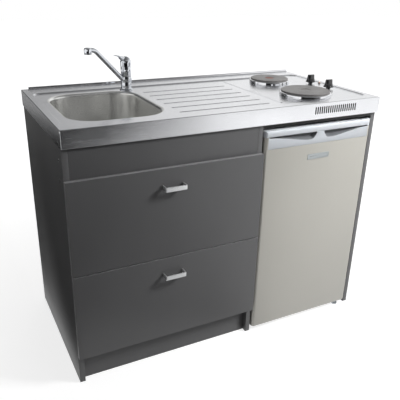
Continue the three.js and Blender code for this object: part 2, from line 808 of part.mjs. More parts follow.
/** Energy regulator under the worktop: housing, threaded collar and bore for the spindle. */
function regulator(y) {
  const half = switchSize / 2;
  const bottom = fieldUnder - switchHeight;
  const housing = box(knobX - half, knobX + half, y - half, y + half, bottom, fieldUnder - 2);
  const collar = post(spindleRadius + 2.2, knobX, y, fieldUnder - 3, fieldTop, 16);
  const seat = post(spindleRadius + 6, knobX, y, fieldUnder - 3, fieldUnder, 16);
  const bore = post(spindleRadius + runningGap, knobX, y, fieldUnder - 17, fieldTop + 1, 16);
  const tabs = [-12, 0, 12].map((shift) => (
    box(knobX + shift - 3, knobX + shift + 3, y - 0.4, y + 0.4, bottom - 7, bottom + 1)));
  return cut(join(housing, collar, seat, ...tabs), bore);
}

/** Open pan under the plates and switches that keeps heat and fingers from the wiring. */
function hobTray() {
  const left = Math.min(plateFrontX - plateFrontRadius, plateRearX - plateRearRadius) - trayMargin;
  const right = Math.min(lampX + lampRadius, nicheRight - trayMargin / 2) + 2;
  const front = panelSetback + board + trayMargin;
  const rear = plateRearY + plateRearRadius + trayMargin;
  const bottom = fieldUnder - trayDepth;
  const pan = box(left, right, front, rear, bottom, fieldUnder);
  const inside = box(left + sheet, right - sheet, front + sheet, rear - sheet, bottom + sheet, fieldUnder + 1);
  const cableHole = post(12, (left + right) / 2, rear - 3 * trayMargin, bottom - 1, bottom + 2 * sheet, 16);
  const vents = Array.from({ length: 8 }, (_, i) => {
    const x = left + 60 + i * 22;
    return box(x, x + 4, front + 40, front + 110, bottom - 1, bottom + 2 * sheet);
  });
  return cut(pan, inside, cableHole, ...vents);
}

function hobParts() {
  const lamp = turned([[0, -12], [lampRadius - 0.4, -12], [lampRadius - 0.4, 0], [lampRadius + 1.2, 0],
    [lampRadius + 1.2, 1.6], [lampRadius, lampHeight - 2.5], [lampRadius - 2, lampHeight - 0.6],
    [0, lampHeight]], lampX, lampY, fieldTop, 20);
  return group(0, 0, 0,
    piece('hotplate_front', hotplate(plateFrontX, plateFrontY, plateFrontRadius), castIron),
    piece('hotplate_rear', hotplate(plateRearX, plateRearY, plateRearRadius), castIron),
    piece('spill_ring_front', spillRing(plateFrontX, plateFrontY, plateFrontRadius), polishedSteel),
    piece('spill_ring_rear', spillRing(plateRearX, plateRearY, plateRearRadius), polishedSteel),
    piece('hob_tray', hobTray(), zincSteel),
    piece('hob_knob_front', knob(knobFrontY), blackPlastic),
    piece('hob_knob_rear', knob(knobRearY), blackPlastic),
    piece('hob_switch_front', regulator(knobFrontY), greyPlastic),
    piece('hob_switch_rear', regulator(knobRearY), greyPlastic),
    piece('indicator_lamp', lamp, amberLens));
}

// ---------------------------------------------------------------- tap

/** Fixed body: base, core for the swivel collar, upper barrel, ball seat and threaded shank. */
function tapBody() {
  const core = tapBodyRadius - 5.5;
  const collarTop = collarBottom + collarHeight;
  const steps = 4;
  const start = Math.asin((tapBodyHeight - tapPivotHeight) / tapBall);
  const ball = Array.from({ length: steps + 1 }, (_, i) => {
    const turn = start + (i / steps) * (1.05 - start);
    return [tapBall * Math.cos(turn), tapPivotHeight + tapBall * Math.sin(turn)];
  });
  const boreRadius = 10;
  const outline = [[0, -60], [tapShank, -60], [tapShank, 0], [tapBaseRadius, 0], [tapBaseRadius, 2],
    [tapBaseRadius - 2, 4.5], [tapBodyRadius + 1, 6], [tapBodyRadius, 9], [tapBodyRadius, collarBottom],
    [core, collarBottom], [core, collarTop], [tapBodyRadius, collarTop], [tapBodyRadius, tapBodyHeight],
    ...ball, [0, ball.at(-1)[1]]];
  const bore = post(boreRadius, 0, 0, tapPivotHeight - 20, tapPivotHeight + tapBall + 1, 24);
  const inlets = [-6, 6].map((x) => post(3.5, x, 0, -61, -30, 12));
  return cut(turned(outline, 0, 0, 0), bore, ...inlets);
}

function tapNut() {
  const hexagon = Array.from({ length: 6 }, (_, i) => {
    const turn = (i / 6) * 2 * Math.PI;
    return [22 * Math.cos(turn), 22 * Math.sin(turn)];
  });
  const nut = join(slab(hexagon, -sheet - 12, -sheet - 2), post(23.4, 0, 0, -sheet - 3, -sheet));
  return cut(nut, post(tapShank + runningGap, 0, 0, -sheet - 13, 0));
}

/** Swivel collar with the rising tube that levels out into the outlet head. */
function tapSpout() {
  const core = tapBodyRadius - 5.5 + runningGap;
  const collarTop = collarBottom + collarHeight;
  const collar = turned([[core, collarBottom + runningGap], [tapBodyRadius + 1.5, collarBottom + runningGap],
    [tapBodyRadius + 2.2, collarBottom + collarHeight / 2], [tapBodyRadius + 1.5, collarTop - runningGap],
    [core, collarTop - runningGap]], 0, 0, 0);
  const rootX = spoutRoot;
  const rootZ = collarBottom + spoutRootRise;
  const slope = THREE.MathUtils.degToRad(spoutRise);
  const bendX = rootX + (spoutHeight - spoutBend * (1 - Math.cos(slope)) - rootZ) / Math.tan(slope);
  const centreX = bendX + spoutBend * Math.sin(slope);
  const curve = arc(centreX, spoutHeight - spoutBend, spoutBend, 1 + spoutRise / 90, 1, 5);
  const tube = bar([[rootX, rootZ], ...curve, [spoutReach, spoutHeight]], 0, spoutRadius, 10);
  const under = spoutRadius + 0.3;
  const head = turned([[0, -under], [outletHead - 0.6, -under], [outletHead, 0.6 - under], [outletHead, 6],
    [outletHead - 3, 9], [0, 9.6]], spoutReach, 0, spoutHeight, 20);
  const opening = post(core, 0, 0, collarBottom - 1, collarTop + 1, 24);
  const barrel = post(tapBodyRadius + runningGap, 0, 0, collarTop - runningGap, tapBodyHeight, 24);
  return cut(join(collar, tube, head), opening, barrel);
}

/** Screwed-in outlet insert with its water opening. */
function aerator() {
  const outline = [[0, -2], [8, -2], [8, -5.2], [outletHead - 1.2, -5.2], [outletHead - 0.4, -4.4],
    [outletHead - 0.4, 0], [0, 0]];
  return turned(outline, spoutReach, 0, spoutHeight - spoutRadius - 0.3, 20);
}

/** Lever: domed cap with a socketed stem inside and a blade that sweeps out and up. */
function tapLever() {
  const inner = tapBall + 0.5;
  const outer = tapBodyRadius + 0.8;
  const seam = tapBodyHeight + 0.6;
  const crown = arc(0, leverShoulder, 1, 0, 1, 5).slice(0, -1).map(([r, h]) => (
    [outer * r, leverShoulder + leverCrown * (h - leverShoulder)]));
  const cap = turned([[0, seam], [outer, seam], ...crown, [0, leverShoulder + leverCrown]], 0, 0, 0);
  const socket = arc(0, tapPivotHeight, inner, 0, 1, 4).slice(0, -1);
  const hollow = turned([[0, seam - 1], [inner, seam - 1], ...socket, [0, tapPivotHeight + inner]], 0, 0, 0);
  const tip = 4;
  const foot = arc(0, tapPivotHeight, tip, -1, 0, 3).slice(1);
  const stem = turned([[0, tapPivotHeight - tip], ...foot, [3, tapPivotHeight + 3],
    [3, tapPivotHeight + inner + 1], [0, tapPivotHeight + inner + 1]], 0, 0, 0, 10);
  const relief = box(-40, 0, -40, 40, -20, 0).rotate([0, leverLift, 0]).translate([-1, 0, seam]);
  return join(cut(join(cap, blade()), hollow, relief), stem);
}

/** Blade of the lever: swept side profile with a constant width and eased tip. */
function blade() {
  const shoulder = leverShoulder;
  const tipZ = shoulder + 29;
  const shape = new THREE.Shape();
  shape.moveTo(4, shoulder + 6);
  shape.lineTo(15, shoulder + 2);
  shape.quadraticCurveTo(24, shoulder + 6, 32, shoulder + 18);
  shape.quadraticCurveTo(38, tipZ - 5, leverReach, tipZ - 3);
  shape.lineTo(leverReach + 1, tipZ - 1.5);
  shape.lineTo(leverReach, tipZ);
  shape.quadraticCurveTo(28, tipZ - 1, 6, shoulder + leverRoot);
  const outline = shape.getPoints(4).map((p) => [p.x, p.y]);
  const side = rail(outline, -leverWidth / 2, leverWidth / 2);
  const plan = slab([[0, -leverWidth / 2], [24, -leverWidth / 2], [leverReach - 6, -leverWidth / 2 + 2],
    [leverReach + 2, -leverWidth / 2 + 5], [leverReach + 2, leverWidth / 2 - 5],
    [leverReach - 6, leverWidth / 2 - 2], [24, leverWidth / 2], [0, leverWidth / 2]],
  shoulder - 5, tipZ + 5);
  return side.intersect(plan);
}

function tapParts() {
  const spindle = turned([[0, -19.5], [9.6, -19.5], [9.6, -5], [8, -4.2], [0, -4.2]], 0, 0, tapPivotHeight);
  const head = group(0, 0, 0,
    piece('tap_spout', tapSpout(), chrome),
    piece('tap_aerator', aerator(), zincSteel),
    piece('tap_spindle', spindle, whitePlastic),
    piece('tap_lever', tapLever(), chrome));
  head.rotation.z = Math.PI + THREE.MathUtils.degToRad(spoutTurn);
  return group(tapX, tapY, fieldTop,
    piece('tap_body', tapBody(), chrome),
    piece('tap_nut', tapNut(), zincSteel),
    head);
}

// ---------------------------------------------------------------- pull-outs

const sideClearance = 1;
const drawerOuterLeft = insideLeft + runnerDepth + sideClearance;
const drawerOuterRight = partitionX - runnerDepth - sideClearance;
const rollerY = panelSetback + 24;
const drawerLength = runnerLength - 16;

/** Mirrors an (x, z) outline onto the right-hand side of the cabinet, keeping it counter-clockwise. */
function mirrored(outline) {
  return outline.map(([x, z]) => [insideLeft + partitionX - x, z]).reverse();
}

/** Cabinet runner: C-section on the panel, with the roller that carries the pull-out at its front. */
function cabinetRunner(bottom, right) {
  const x = insideLeft;
  const top = bottom + runnerHeight;
  const outline = [[x, bottom], [x + runnerDepth, bottom], [x + runnerDepth, bottom + runnerGauge],
    [x + runnerGauge, bottom + runnerGauge], [x + runnerGauge, top - runnerGauge],
    [x + runnerDepth, top - runnerGauge], [x + runnerDepth, top], [x, top]];
  const y0 = panelSetback + 4;
  const profile = rail(right ? mirrored(outline) : outline, y0, y0 + runnerLength);
  const side = right ? partitionX : insideLeft;
  const inward = right ? -1 : 1;
  const ends = [side + inward * runnerGauge / 2, side + inward * (runnerDepth - 1)].sort((a, b) => a - b);
  const roller = axle(rollerRadius, rollerY, bottom + runnerGauge + 1.7 + rollerRadius, ...ends);
  const stop = [side, side + inward * runnerDepth].sort((a, b) => a - b);
  const rearStop = box(...stop, y0 + runnerLength - 4, y0 + runnerLength, bottom, top);
  return join(profile, roller, rearStop);
}

/** Steel drawer side: double-rolled top, flange under the bottom, runner bar outside, rear roller. */
function drawerSide(runnerBottom, right) {
  const bottom = runnerBottom - drawerLift;
  const x = drawerOuterLeft;
  const top = bottom + drawerSideHeight;
  const barTop = runnerBottom + runnerGauge + 1.7 + 2 * rollerRadius + runningGap + 3.5;
  const barFoot = barTop - 3.5;
  const reach = runnerDepth + sideClearance - runnerGauge - 1;
  const outline = [[x, bottom], [x + drawerFlange, bottom], [x + drawerFlange, bottom + drawerGauge],
    [x + drawerGauge, bottom + drawerGauge], [x + drawerGauge, top - 8], [x + 9, top - 8], [x + 11, top - 5],
    [x + 10, top - 1], [x + 7, top], [x + 1.5, top], [x, top - 2], [x, barTop], [x - reach, barTop],
    [x - reach, barFoot], [x, barFoot]];
  const y0 = frontBackFace;
  const y1 = y0 + drawerLength;
  const profile = rail(right ? mirrored(outline) : outline, y0, y1);
  const rollerZ = runnerBottom + runnerGauge + runningGap + rollerRadius;
  const edge = right ? insideLeft + partitionX - x : x;
  const outward = right ? 1 : -1;
  const span = (from, to) => [edge + outward * from, edge + outward * to].sort((a, b) => a - b);
  const axleY = y1 - 2 * rollerRadius;
  const roller = axle(rollerRadius, axleY, rollerZ, ...span(0, reach));
  const lug = box(...span(-drawerGauge, 0.5), axleY - 7, axleY + 7, rollerZ - 4, barTop);
  const bracket = box(...span(-drawerFlange, -0.2), y0, y0 + 1.5, bottom, top - 8);
  return join(profile, roller, lug, bracket);
}

/** Bar handle: flat face with both ends turned back to the front. */
function handle(z) {
  const centre = (endInset + endInset + cabinetWidth) / 2;
  const half = handleWidth / 2;
  const outerFace = frontFace - handleReach;
  const ease = 2;
  const outline = [[centre - half, frontFace], [centre - half, outerFace + ease],
    [centre - half + ease, outerFace], [centre + half - ease, outerFace], [centre + half, outerFace + ease],
    [centre + half, frontFace], [centre + half - handleGauge, frontFace],
    [centre + half - handleGauge, outerFace + handleGauge],
    [centre - half + handleGauge, outerFace + handleGauge], [centre - half + handleGauge, frontFace]];
  return slab(outline, z - handleFace / 2, z + handleFace / 2);
}

/** One pull-out: front, handle, two steel sides, bottom and back. */
function pullOut(prefix, frontBottom, runnerBottom) {
  const top = frontBottom + frontHeight;
  const front = box(endInset, nicheLeft, frontFace, frontBackFace, frontBottom, top);
  const bottomZ = runnerBottom - drawerLift + drawerGauge;
  const left = drawerOuterLeft + drawerGauge;
  const right = drawerOuterRight - drawerGauge;
  const rear = frontBackFace + drawerLength;
  const base = box(left, right, frontBackFace + 1.5, rear, bottomZ, bottomZ + frontBoard);
  const backTop = runnerBottom - drawerLift + drawerSideHeight - 8;
  const back = box(left, right, rear - frontBoard, rear, bottomZ + frontBoard, backTop);
  return group(0, 0, 0,
    piece(`${prefix}_front`, front, greyBoard),
    piece(`${prefix}_handle`, handle(top - handleDrop), satinMetal),
    piece(`${prefix}_side_left`, drawerSide(runnerBottom, false), whitePlastic),
    piece(`${prefix}_side_right`, drawerSide(runnerBottom, true), whitePlastic),
    piece(`${prefix}_bottom`, base, whitePlastic),
    piece(`${prefix}_back`, back, whitePlastic));
}

function pullOuts() {
  const lower = floorTop + drawerLift + 4;
  const upper = upperFrontBottom + drawerLift + 8;
  const runners = [['upper', upper], ['lower', lower]].flatMap(([name, z]) => [
    piece(`${name}_runner_left`, cabinetRunner(z, false), zincSteel),
    piece(`${name}_runner_right`, cabinetRunner(z, true), zincSteel)]);
  return group(0, 0, 0,
    ...runners,
    pullOut('upper_drawer', upperFrontBottom, upper),
    pullOut('lower_drawer', lowerFrontBottom, lower));
}

// ---------------------------------------------------------------- refrigerator

const cabinetFront = doorThickness + gasketThickness + 2 * runningGap;
const cavityLeft = wall;
const cavityRight = fridgeWidth - wall;
const cavityTop = fridgeTop - wall;
const capBottom = fridgeTop - capHeight;

/** Insulated cabinet: liner cavity with its step, compressor space, freezer shelf, ledges and feet. */
function fridgeCabinet() {
  const shell = box(0, fridgeWidth, cabinetFront, fridgeBack, fridgeBase, fridgeTop);
  const stepY = fridgeBack - humpDepth - wall;
  const stepZ = fridgeBase + humpHeight + wall - 14;
  const cavity = beam([[cabinetFront - 1, cavityFloor], [stepY, cavityFloor], [stepY, stepZ],
    [cavityBack, stepZ], [cavityBack, cavityTop], [cabinetFront - 1, cavityTop]], cavityLeft, cavityRight);
  const engineRoom = box(engineWall, fridgeWidth - engineWall, fridgeBack - humpDepth, fridgeBack + 1,
    fridgeBase - 1, fridgeBase + humpHeight - engineRoof);
  const iceShelf = box(cavityLeft - 1, cavityRight + 1, freezerFront, cavityBack + 1,
    freezerFloor, freezerFloor + shelfThickness);
  const iceLip = box(cavityLeft - 1, cavityRight + 1, freezerFront, freezerFront + 3,
    freezerFloor - 3 * shelfThickness, freezerFloor + 1);
  const ledges = [[cavityLeft - 1, cavityLeft + 6], [cavityRight - 6, cavityRight + 1]].map(([x0, x1]) => (
    box(x0, x1, cabinetFront + shelfSetback - 2, cavityBack + 1, shelfHeight - 6, shelfHeight)));
  const housing = cavityRight - thermostatDepth;
  const thermostat = box(housing, cavityRight + 1, thermostatY - thermostatHalf, thermostatY + thermostatHalf,
    thermostatZ - thermostatHalf, thermostatZ + thermostatHalf);
  const bore = axle(spindleRadius + runningGap, thermostatY, thermostatZ,
    housing - 1, housing + linerDepth, 12);
  const footY = fridgeBack - footRadius - 2;
  const stands = [[34, cabinetFront + 2 * footRadius], [footRadius, footY], [fridgeWidth - footRadius, footY]];
  const feet = stands.map(([x, y]) => post(footRadius, x, y, 0, fridgeBase + 1, 16));
  const seatSlot = hingeLowerSpace();
  return cut(join(cut(shell, cavity, engineRoom), iceShelf, iceLip, ...ledges, thermostat, ...feet),
    bore, seatSlot);
}

/** Room under the cabinet's front corner for the lower hinge. */
function hingeLowerSpace() {
  return box(fridgeWidth - 60, fridgeWidth + 1, cabinetFront - 1, cabinetFront + 46,
    fridgeBase - 1, fridgeBase + runningGap);
}

/** Height of the grip scoops' lower edge, counted down from the cap, at a distance from the centre. */
function scoopDrop(distance) {
  const least = 4;
  const range = scoopDepth - least;
  const outer = fridgeWidth / 2 - 3;
  if (distance <= scoopTab) return least;
  if (distance < scoopDeepest) {
    const share = (distance - scoopTab) / (scoopDeepest - scoopTab);
    return least + range * Math.sin(Math.min(share * 2, 1) * (Math.PI / 2));
  }
  const share = (distance - scoopDeepest) / (outer - scoopDeepest);
  return scoopDepth - range * Math.sin(share * (Math.PI / 2)) ** 1.4;
}

/** One grip scoop in the door's top edge, shallower towards its floor. */
function gripScoop(side) {
  const steps = 12;
  const inner = scoopTab + 1;
  const outer = fridgeWidth / 2 - doorCorner - 4;
  const row = Array.from({ length: steps + 1 }, (_, i) => {
    const share = (i / steps) ** 1.5;
    return inner + share * (outer - inner);
  });
  const loop = (depthShare) => {
    const under = row.map((d) => [d, -scoopDrop(d) * depthShare]);
    const outline = [...under, [outer, 2], [inner, 2]];
    const placed = outline.map(([d, z]) => [fridgeWidth / 2 + side * d, capBottom + z]);
    return side > 0 ? placed : placed.reverse();
  };
  const flat = loft([{ loop: loop(0.8), z: 0 }, { loop: loop(1), z: gripDepth + 1 }]);
  const turn = new THREE.Matrix4().makeBasis(alongX, alongZ, towardsFront);
  turn.setPosition(0, gripDepth, 0);
  return flat.transform(turn.elements);
}

/** Door: rounded outer skin, trim groove, grip scoops, liner plug with moulded shelves, hinge bores. */
function fridgeDoor() {
  const top = capBottom;
  const shell = slab(doorPlan(), doorBottom, top);
  const groove = box(-1, fridgeWidth + 1, -1, 0.8, capBottom - trimHeight - 1, capBottom - trimHeight);
  const linerLeft = cavityLeft + 22;
  const linerRight = cavityRight - 10;
  const linerFront = doorThickness - 0.5;
  const plugPart = box(linerLeft, linerRight, linerFront, doorThickness + linerDepth,
    cavityFloor + 18, top - 30);
  const shelves = doorShelfHeights.map((z, i) => doorShelf(linerLeft, linerRight, z, doorShelfReaches[i]));
  const bores = [
    post(hingePin + runningGap, hingeX, hingeY, doorBottom - 1, doorBottom + 26, 16),
    post(hingePin + runningGap, hingeX, hingeY, top - 24, top + 1, 16),
  ];
  return cut(join(shell, plugPart, ...shelves), groove, gripScoop(1), gripScoop(-1), ...bores);
}

/** Moulded door shelf: floor, front wall and two ends, open at the top. */
function doorShelf(left, right, z, reach) {
  const inner = doorThickness + linerDepth;
  const outer = doorThickness + reach;
  const block = box(left, right, inner - 1, outer, z, z + doorShelfHeight);
  const room = box(left + doorShelfWall, right - doorShelfWall, inner, outer - doorShelfWall,
    z + doorShelfWall, z + doorShelfHeight + 1);
  return cut(block, room);
}

/** Plan outline of the door with rounded front corners. */
function doorPlan() {
  const left = arc(doorCorner, doorCorner, doorCorner, 2, 3, 4);
  const right = arc(fridgeWidth - doorCorner, doorCorner, doorCorner, 3, 4, 4);
  return [[0, doorThickness], ...left, ...right, [fridgeWidth, doorThickness]];
}

/** Top cap of the door: rounded nose over the scoops, hollow behind it for the fingers. */
function gripCap() {
  const nose = 7;
  const round = arc(nose, fridgeTop - nose, nose, 1, 2, 4);
  const profile = [[0, capBottom + 3], [1.5, capBottom], [nose, capBottom], [doorThickness, capBottom],
    [doorThickness, fridgeTop], ...round];
  const cap = beam(profile, 0, fridgeWidth).intersect(slab(doorPlan(), capBottom - 1, fridgeTop + 1));
  const fingers = [-1, 1].map((side) => {
    const middle = fridgeWidth / 2;
    const ends = [middle + side * 26, middle + side * (fridgeWidth / 2 - 60)].sort((a, b) => a - b);
    return box(...ends, nose + 2, gripDepth + 4, capBottom - 1, fridgeTop - 6);
  });
  const bore = post(hingePin + runningGap, hingeX, hingeY, capBottom - 1, fridgeTop + 1, 16);
  return cut(cap, ...fingers, bore);
}

/** Magnetic gasket: ribbed frame on the inner face of the door. */
function doorGasket() {
  const y0 = doorThickness + runningGap;
  const y1 = y0 + gasketThickness;
  const left = 10;
  const right = hingeX - 3;
  const bottom = fridgeBase + 14;
  const top = capBottom - 6;
  const width = 14;
  const groove = 2;
  const frame = box(left, right, y0, y1, bottom, top);
  const window = box(left + width, right - width, y0 - 1, y1 + 1, bottom + width, top - width);
  const bead = cut(
    box(left + 5, right - 5, y1 - groove, y1 + 1, bottom + 5, top - 5),
    box(left + 8, right - 8, y1 - groove - 1, y1 + 2, bottom + 8, top - 8));
  return cut(frame, window, bead);
}

/** Lower hinge: plate under the cabinet, pin up into the door, and the front foot. */
function hingeLower() {
  const plate = slab(roundedRectangle(hingeX - 14, (8 + cabinetFront + 44) / 2, 50, cabinetFront + 36, 8, 3),
    fridgeBase - hingePlate, fridgeBase);
  const pin = post(hingePin, hingeX, hingeY, fridgeBase - 1, doorBottom + 20, 14);
  const washer = post(hingePin + 3, hingeX, hingeY, fridgeBase - 1, doorBottom - runningGap, 14);
  const foot = turned([[0, 0], [11, 0], [12, 2], [12, 6], [5, 8], [5, fridgeBase - 1], [0, fridgeBase - 1]],
    hingeX - 24, hingeY - 2, 0, 14);
  return join(plate, pin, washer, foot);
}

/** Upper hinge: plate on the cabinet top, pin down into the door, lug screwed to the niche rail. */
function hingeUpper() {
  const z = fridgeTop + runningGap;
  const plate = slab(roundedRectangle(hingeX - 12, hingeY + 36, 40, 94, 8, 4), z, z + hingePlate);
  const pin = post(hingePin, hingeX, hingeY, capBottom - 18, z + 1, 16);
  const seat = box(hingeX - 26, hingeX + 2, cabinetFront + 8, hingeY + 74, fridgeTop, z + 1);
  const railBack = panelSetback + board;
  const lug = box(hingeX - 28, hingeX + 4, railBack, railBack + hingePlate, z, apronBottom + 10);
  return join(plate, pin, seat, lug);
}

/** Glass shelf in its plastic frame, on the liner's ledges. */
function glassShelf() {
  const front = cabinetFront + shelfSetback;
  const z = shelfHeight;
  const frame = box(cavityLeft + 2, cavityRight - 2, front, cavityBack - 6, z, z + shelfThickness);
  const lip = box(cavityLeft + 8, cavityRight - 8, front, front + 8, z - 8, z + 1);
  const rearStop = box(cavityLeft + 2, cavityRight - 2, cavityBack - 12, cavityBack - 6, z + shelfThickness - 1,
    z + 3 * shelfThickness);
  return join(frame, lip, rearStop);
}

/** Open vegetable drawer with drawn walls, a rim and a grip at the front. */
function crisper() {
  const left = cavityLeft + 8;
  const right = cavityRight - 8;
  const front = cabinetFront + crisperSetback;
  const rear = fridgeBack - humpDepth - wall - 8;
  const z0 = cavityFloor;
  const z1 = z0 + crisperHeight;
  const x = (left + right) / 2;
  const y = (front + rear) / 2;
  const level = (inset, z) => (
    { loop: roundedRectangle(x, y, right - left - 2 * inset, rear - front - 2 * inset, 14 - inset / 2, 4), z });
  const body = loft([level(10, z0), level(3, z1 - 6), level(0, z1 - 5.9), level(0, z1)]);
  const room = loft([level(10 + crisperWall, z0 + crisperWall), level(3 + crisperWall, z1 + 1)]);
  return cut(body, room);
}

/** Freezer flap, hanging from its pivots under the cavity's top. */
function freezerFlap() {
  const top = cavityTop - 2;
  const y0 = freezerFront - runningGap - flapThickness;
  const outline = [[y0 + 3, freezerFloor - 8], [y0 + flapThickness, freezerFloor - 8],
    [y0 + flapThickness, top - 5], [y0 + flapThickness - 3, top], [y0 + 3, top], [y0, top - 4],
    [y0, freezerFloor - 5]];
  const panel = beam(outline, cavityLeft + 6, cavityRight - 6);
  const middle = fridgeWidth / 2;
  const grip = box(middle - 40, middle + 40, y0 - 5, y0 + 1, freezerFloor + 6, freezerFloor + 10);
  const pivots = axle(2.5, y0 + flapThickness / 2, top - 5, cavityLeft + 0.5, cavityRight - 0.5, 12);
  return join(panel, grip, pivots);
}

/** Thermostat knob with its spindle in the housing. */
function thermostatKnob() {
  const face = cavityRight - thermostatDepth - runningGap;
  const disc = axle(thermostatRadius, thermostatY, thermostatZ, face - 9, face, 24);
  const ridge = box(face - 14, face - 8, thermostatY - 3, thermostatY + 3,
    thermostatZ - thermostatRadius + 2, thermostatZ + thermostatRadius - 2);
  const spindle = axle(spindleRadius, thermostatY, thermostatZ, face - 1, face + linerDepth - 2, 12);
  return join(disc, ridge, spindle);
}

/** Hermetic compressor can on its base plate with four rubber mounts. */
function compressor() {
  const x = fridgeWidth * 0.66;
  const y = fridgeBack - humpDepth / 2 + 6;
  const z = fridgeBase + 11;
  const r = compressorRadius;
  const seam = compressorHeight / 2;
  const top = compressorHeight;
  const can = turned([[0, 0], [0.8 * r, 0], [r, 14], [r, seam - 3], [r - 3, seam - 1], [r - 3, seam + 3],
    [r, seam + 5], [r, top - 37], [r - 10, top - 13], [r - 34, top - 2], [0, top]], x, y, z, 16);
  const plate = box(endInset, fridgeWidth - endInset, y - 48, y + 48, fridgeBase - 3, fridgeBase);
  const mounts = [[-1, -1], [1, -1], [-1, 1], [1, 1]].map(([sx, sy]) => (
    post(9, x + sx * (r - 26), y + sy * (r - 26), fridgeBase - 1, z + 6, 10)));
  const discharge = spigot(4, x - r / 2, z + top - 35, y, fridgeBack - 4, 8);
  return join(can, plate, ...mounts, discharge);
}

/** Condenser: tube that runs to and fro behind the cabinet, held by upright straps. */
function condenser() {
  const runs = condenserRuns;
  const left = condenserMargin;
  const right = fridgeWidth - condenserMargin;
  const low = condenserBottom;
  const high = fridgeTop - 40;
  const pitch = (high - low) / (runs - 1);
  const y = fridgeBack + 10;
  const bends = Array.from({ length: runs - 1 }, (_, i) => {
    const z = low + (i + 0.5) * pitch;
    return i % 2 === 0 ? arc(right, z, pitch / 2, -1, 1, 3) : arc(left, z, pitch / 2, 3, 1, 3);
  });
  const path = [[left, low], ...bends.flat(), [runs % 2 === 0 ? left : right, high]];
  const tube = bar(path, y, 2.6, 5);
  const straps = [0.1, 0.37, 0.63, 0.9].map((share) => left + share * (right - left));
  const uprights = straps.map((x) => box(x - 4, x + 4, y - 1, y + 1, low - 12, high + 12));
  const feet = [straps[0], straps.at(-1)].flatMap((x) => [low - 10, high + 4].map((z) => (
    box(x - 4, x + 4, fridgeBack, y, z, z + 6))));
  return join(tube, ...uprights, ...feet);
}

function refrigerator() {
  return group(fridgeX, 0, 0,
    piece('fridge_cabinet', fridgeCabinet(), whitePlastic),
    piece('fridge_door', fridgeDoor(), fridgeSkin),
    piece('door_grip_cap', gripCap(), fridgeTrim),
    piece('door_gasket', doorGasket(), rubber),
    piece('hinge_lower', hingeLower(), zincSteel),
    piece('hinge_upper', hingeUpper(), zincSteel),
    piece('fridge_shelf', glassShelf(), clearGlass),
    piece('crisper_drawer', crisper(), clearGlass),
    piece('freezer_flap', freezerFlap(), whitePlastic),
    piece('thermostat_knob', thermostatKnob(), whitePlastic),
    piece('compressor', compressor(), blackSteel),
    piece('condenser', condenser(), blackSteel));
}

// ---------------------------------------------------------------- the whole unit

const handleFront = frontFace - handleReach;
const kitchenette = group(-worktopWidth / 2, -(handleFront + worktopDepth) / 2, 0,
  carcass(),
  piece('worktop_sheet', worktopSheet(), brushedSteel),
  sinkParts(),
  tapParts(),
  hobParts(),
  pullOuts(),
  refrigerator());

export default kitchenette;
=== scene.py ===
"""Dressed kitchenette: steel worktop, sink, tap, hotplates, pull-outs and refrigerator."""
from __future__ import annotations

import logging
import math
from dataclasses import dataclass
from enum import Enum
from typing import Callable, Iterable, Sequence

import bmesh
import bpy
from mathutils import Matrix, Vector


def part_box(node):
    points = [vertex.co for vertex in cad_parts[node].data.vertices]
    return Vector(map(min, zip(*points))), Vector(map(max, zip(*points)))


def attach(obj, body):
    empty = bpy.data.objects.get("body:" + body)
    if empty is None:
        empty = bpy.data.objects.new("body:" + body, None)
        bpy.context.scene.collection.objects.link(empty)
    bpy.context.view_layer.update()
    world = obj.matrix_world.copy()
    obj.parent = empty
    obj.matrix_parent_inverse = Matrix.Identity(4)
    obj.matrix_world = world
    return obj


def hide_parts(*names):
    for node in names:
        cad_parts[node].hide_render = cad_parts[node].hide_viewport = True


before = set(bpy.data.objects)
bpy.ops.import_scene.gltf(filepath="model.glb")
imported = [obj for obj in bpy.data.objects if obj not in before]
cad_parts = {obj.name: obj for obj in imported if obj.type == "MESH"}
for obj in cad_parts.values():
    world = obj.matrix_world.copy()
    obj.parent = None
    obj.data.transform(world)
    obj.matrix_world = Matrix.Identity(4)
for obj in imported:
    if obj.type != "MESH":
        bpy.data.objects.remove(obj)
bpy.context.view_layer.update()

LOG = logging.getLogger("kitchenette")

Colour = tuple[float, float, float]
Point = tuple[float, float, float]
Loop = list[Vector]
Outline = list[tuple[float, float]]
Shape = tuple[list[Vector], list[list[int]]]
Mesh = bpy.types.Mesh
Socket = bpy.types.NodeSocket
Node = bpy.types.Node
Tree = bpy.types.NodeTree
Inputs = dict[str | int, object]

MM = 0.001
MERGE = 1e-6
ORIGIN_X = 600.0
ORIGIN_Y = 282.25
WORKTOP = 910.0
FIELD = 906.0


def place(x: float, y: float, z: float) -> Vector:
    """Point in the frame, in metres, from millimetres.

    Args:
        x: Distance from the worktop's left end.
        y: Distance from the worktop's front edge, towards the wall.
        z: Height above the floor.

    Returns:
        The point in the frame.
    """
    return Vector(((x - ORIGIN_X) * MM, (y - ORIGIN_Y) * MM, z * MM))


def srgb(red: int, green: int, blue: int) -> Colour:
    """Linear colour of an 8-bit screen colour."""
    def linear(value: int) -> float:
        """Linear value of one 8-bit channel."""
        share = value / 255
        return share / 12.92 if share <= 0.04045 else ((share + 0.055) / 1.055) ** 2.4
    return linear(red), linear(green), linear(blue)


# ------------------------------------------------------------------ node trees and finishes


def feed(tree: Tree, node: Node, socket: str | int, value: object) -> None:
    """Links a node's input to another node's socket, or sets its value."""
    target = node.inputs[socket]
    if isinstance(value, Socket):
        tree.links.new(value, target)
    elif target.type == "RGBA" and len(value) == 3:
        target.default_value = (*value, 1.0)
    else:
        target.default_value = value


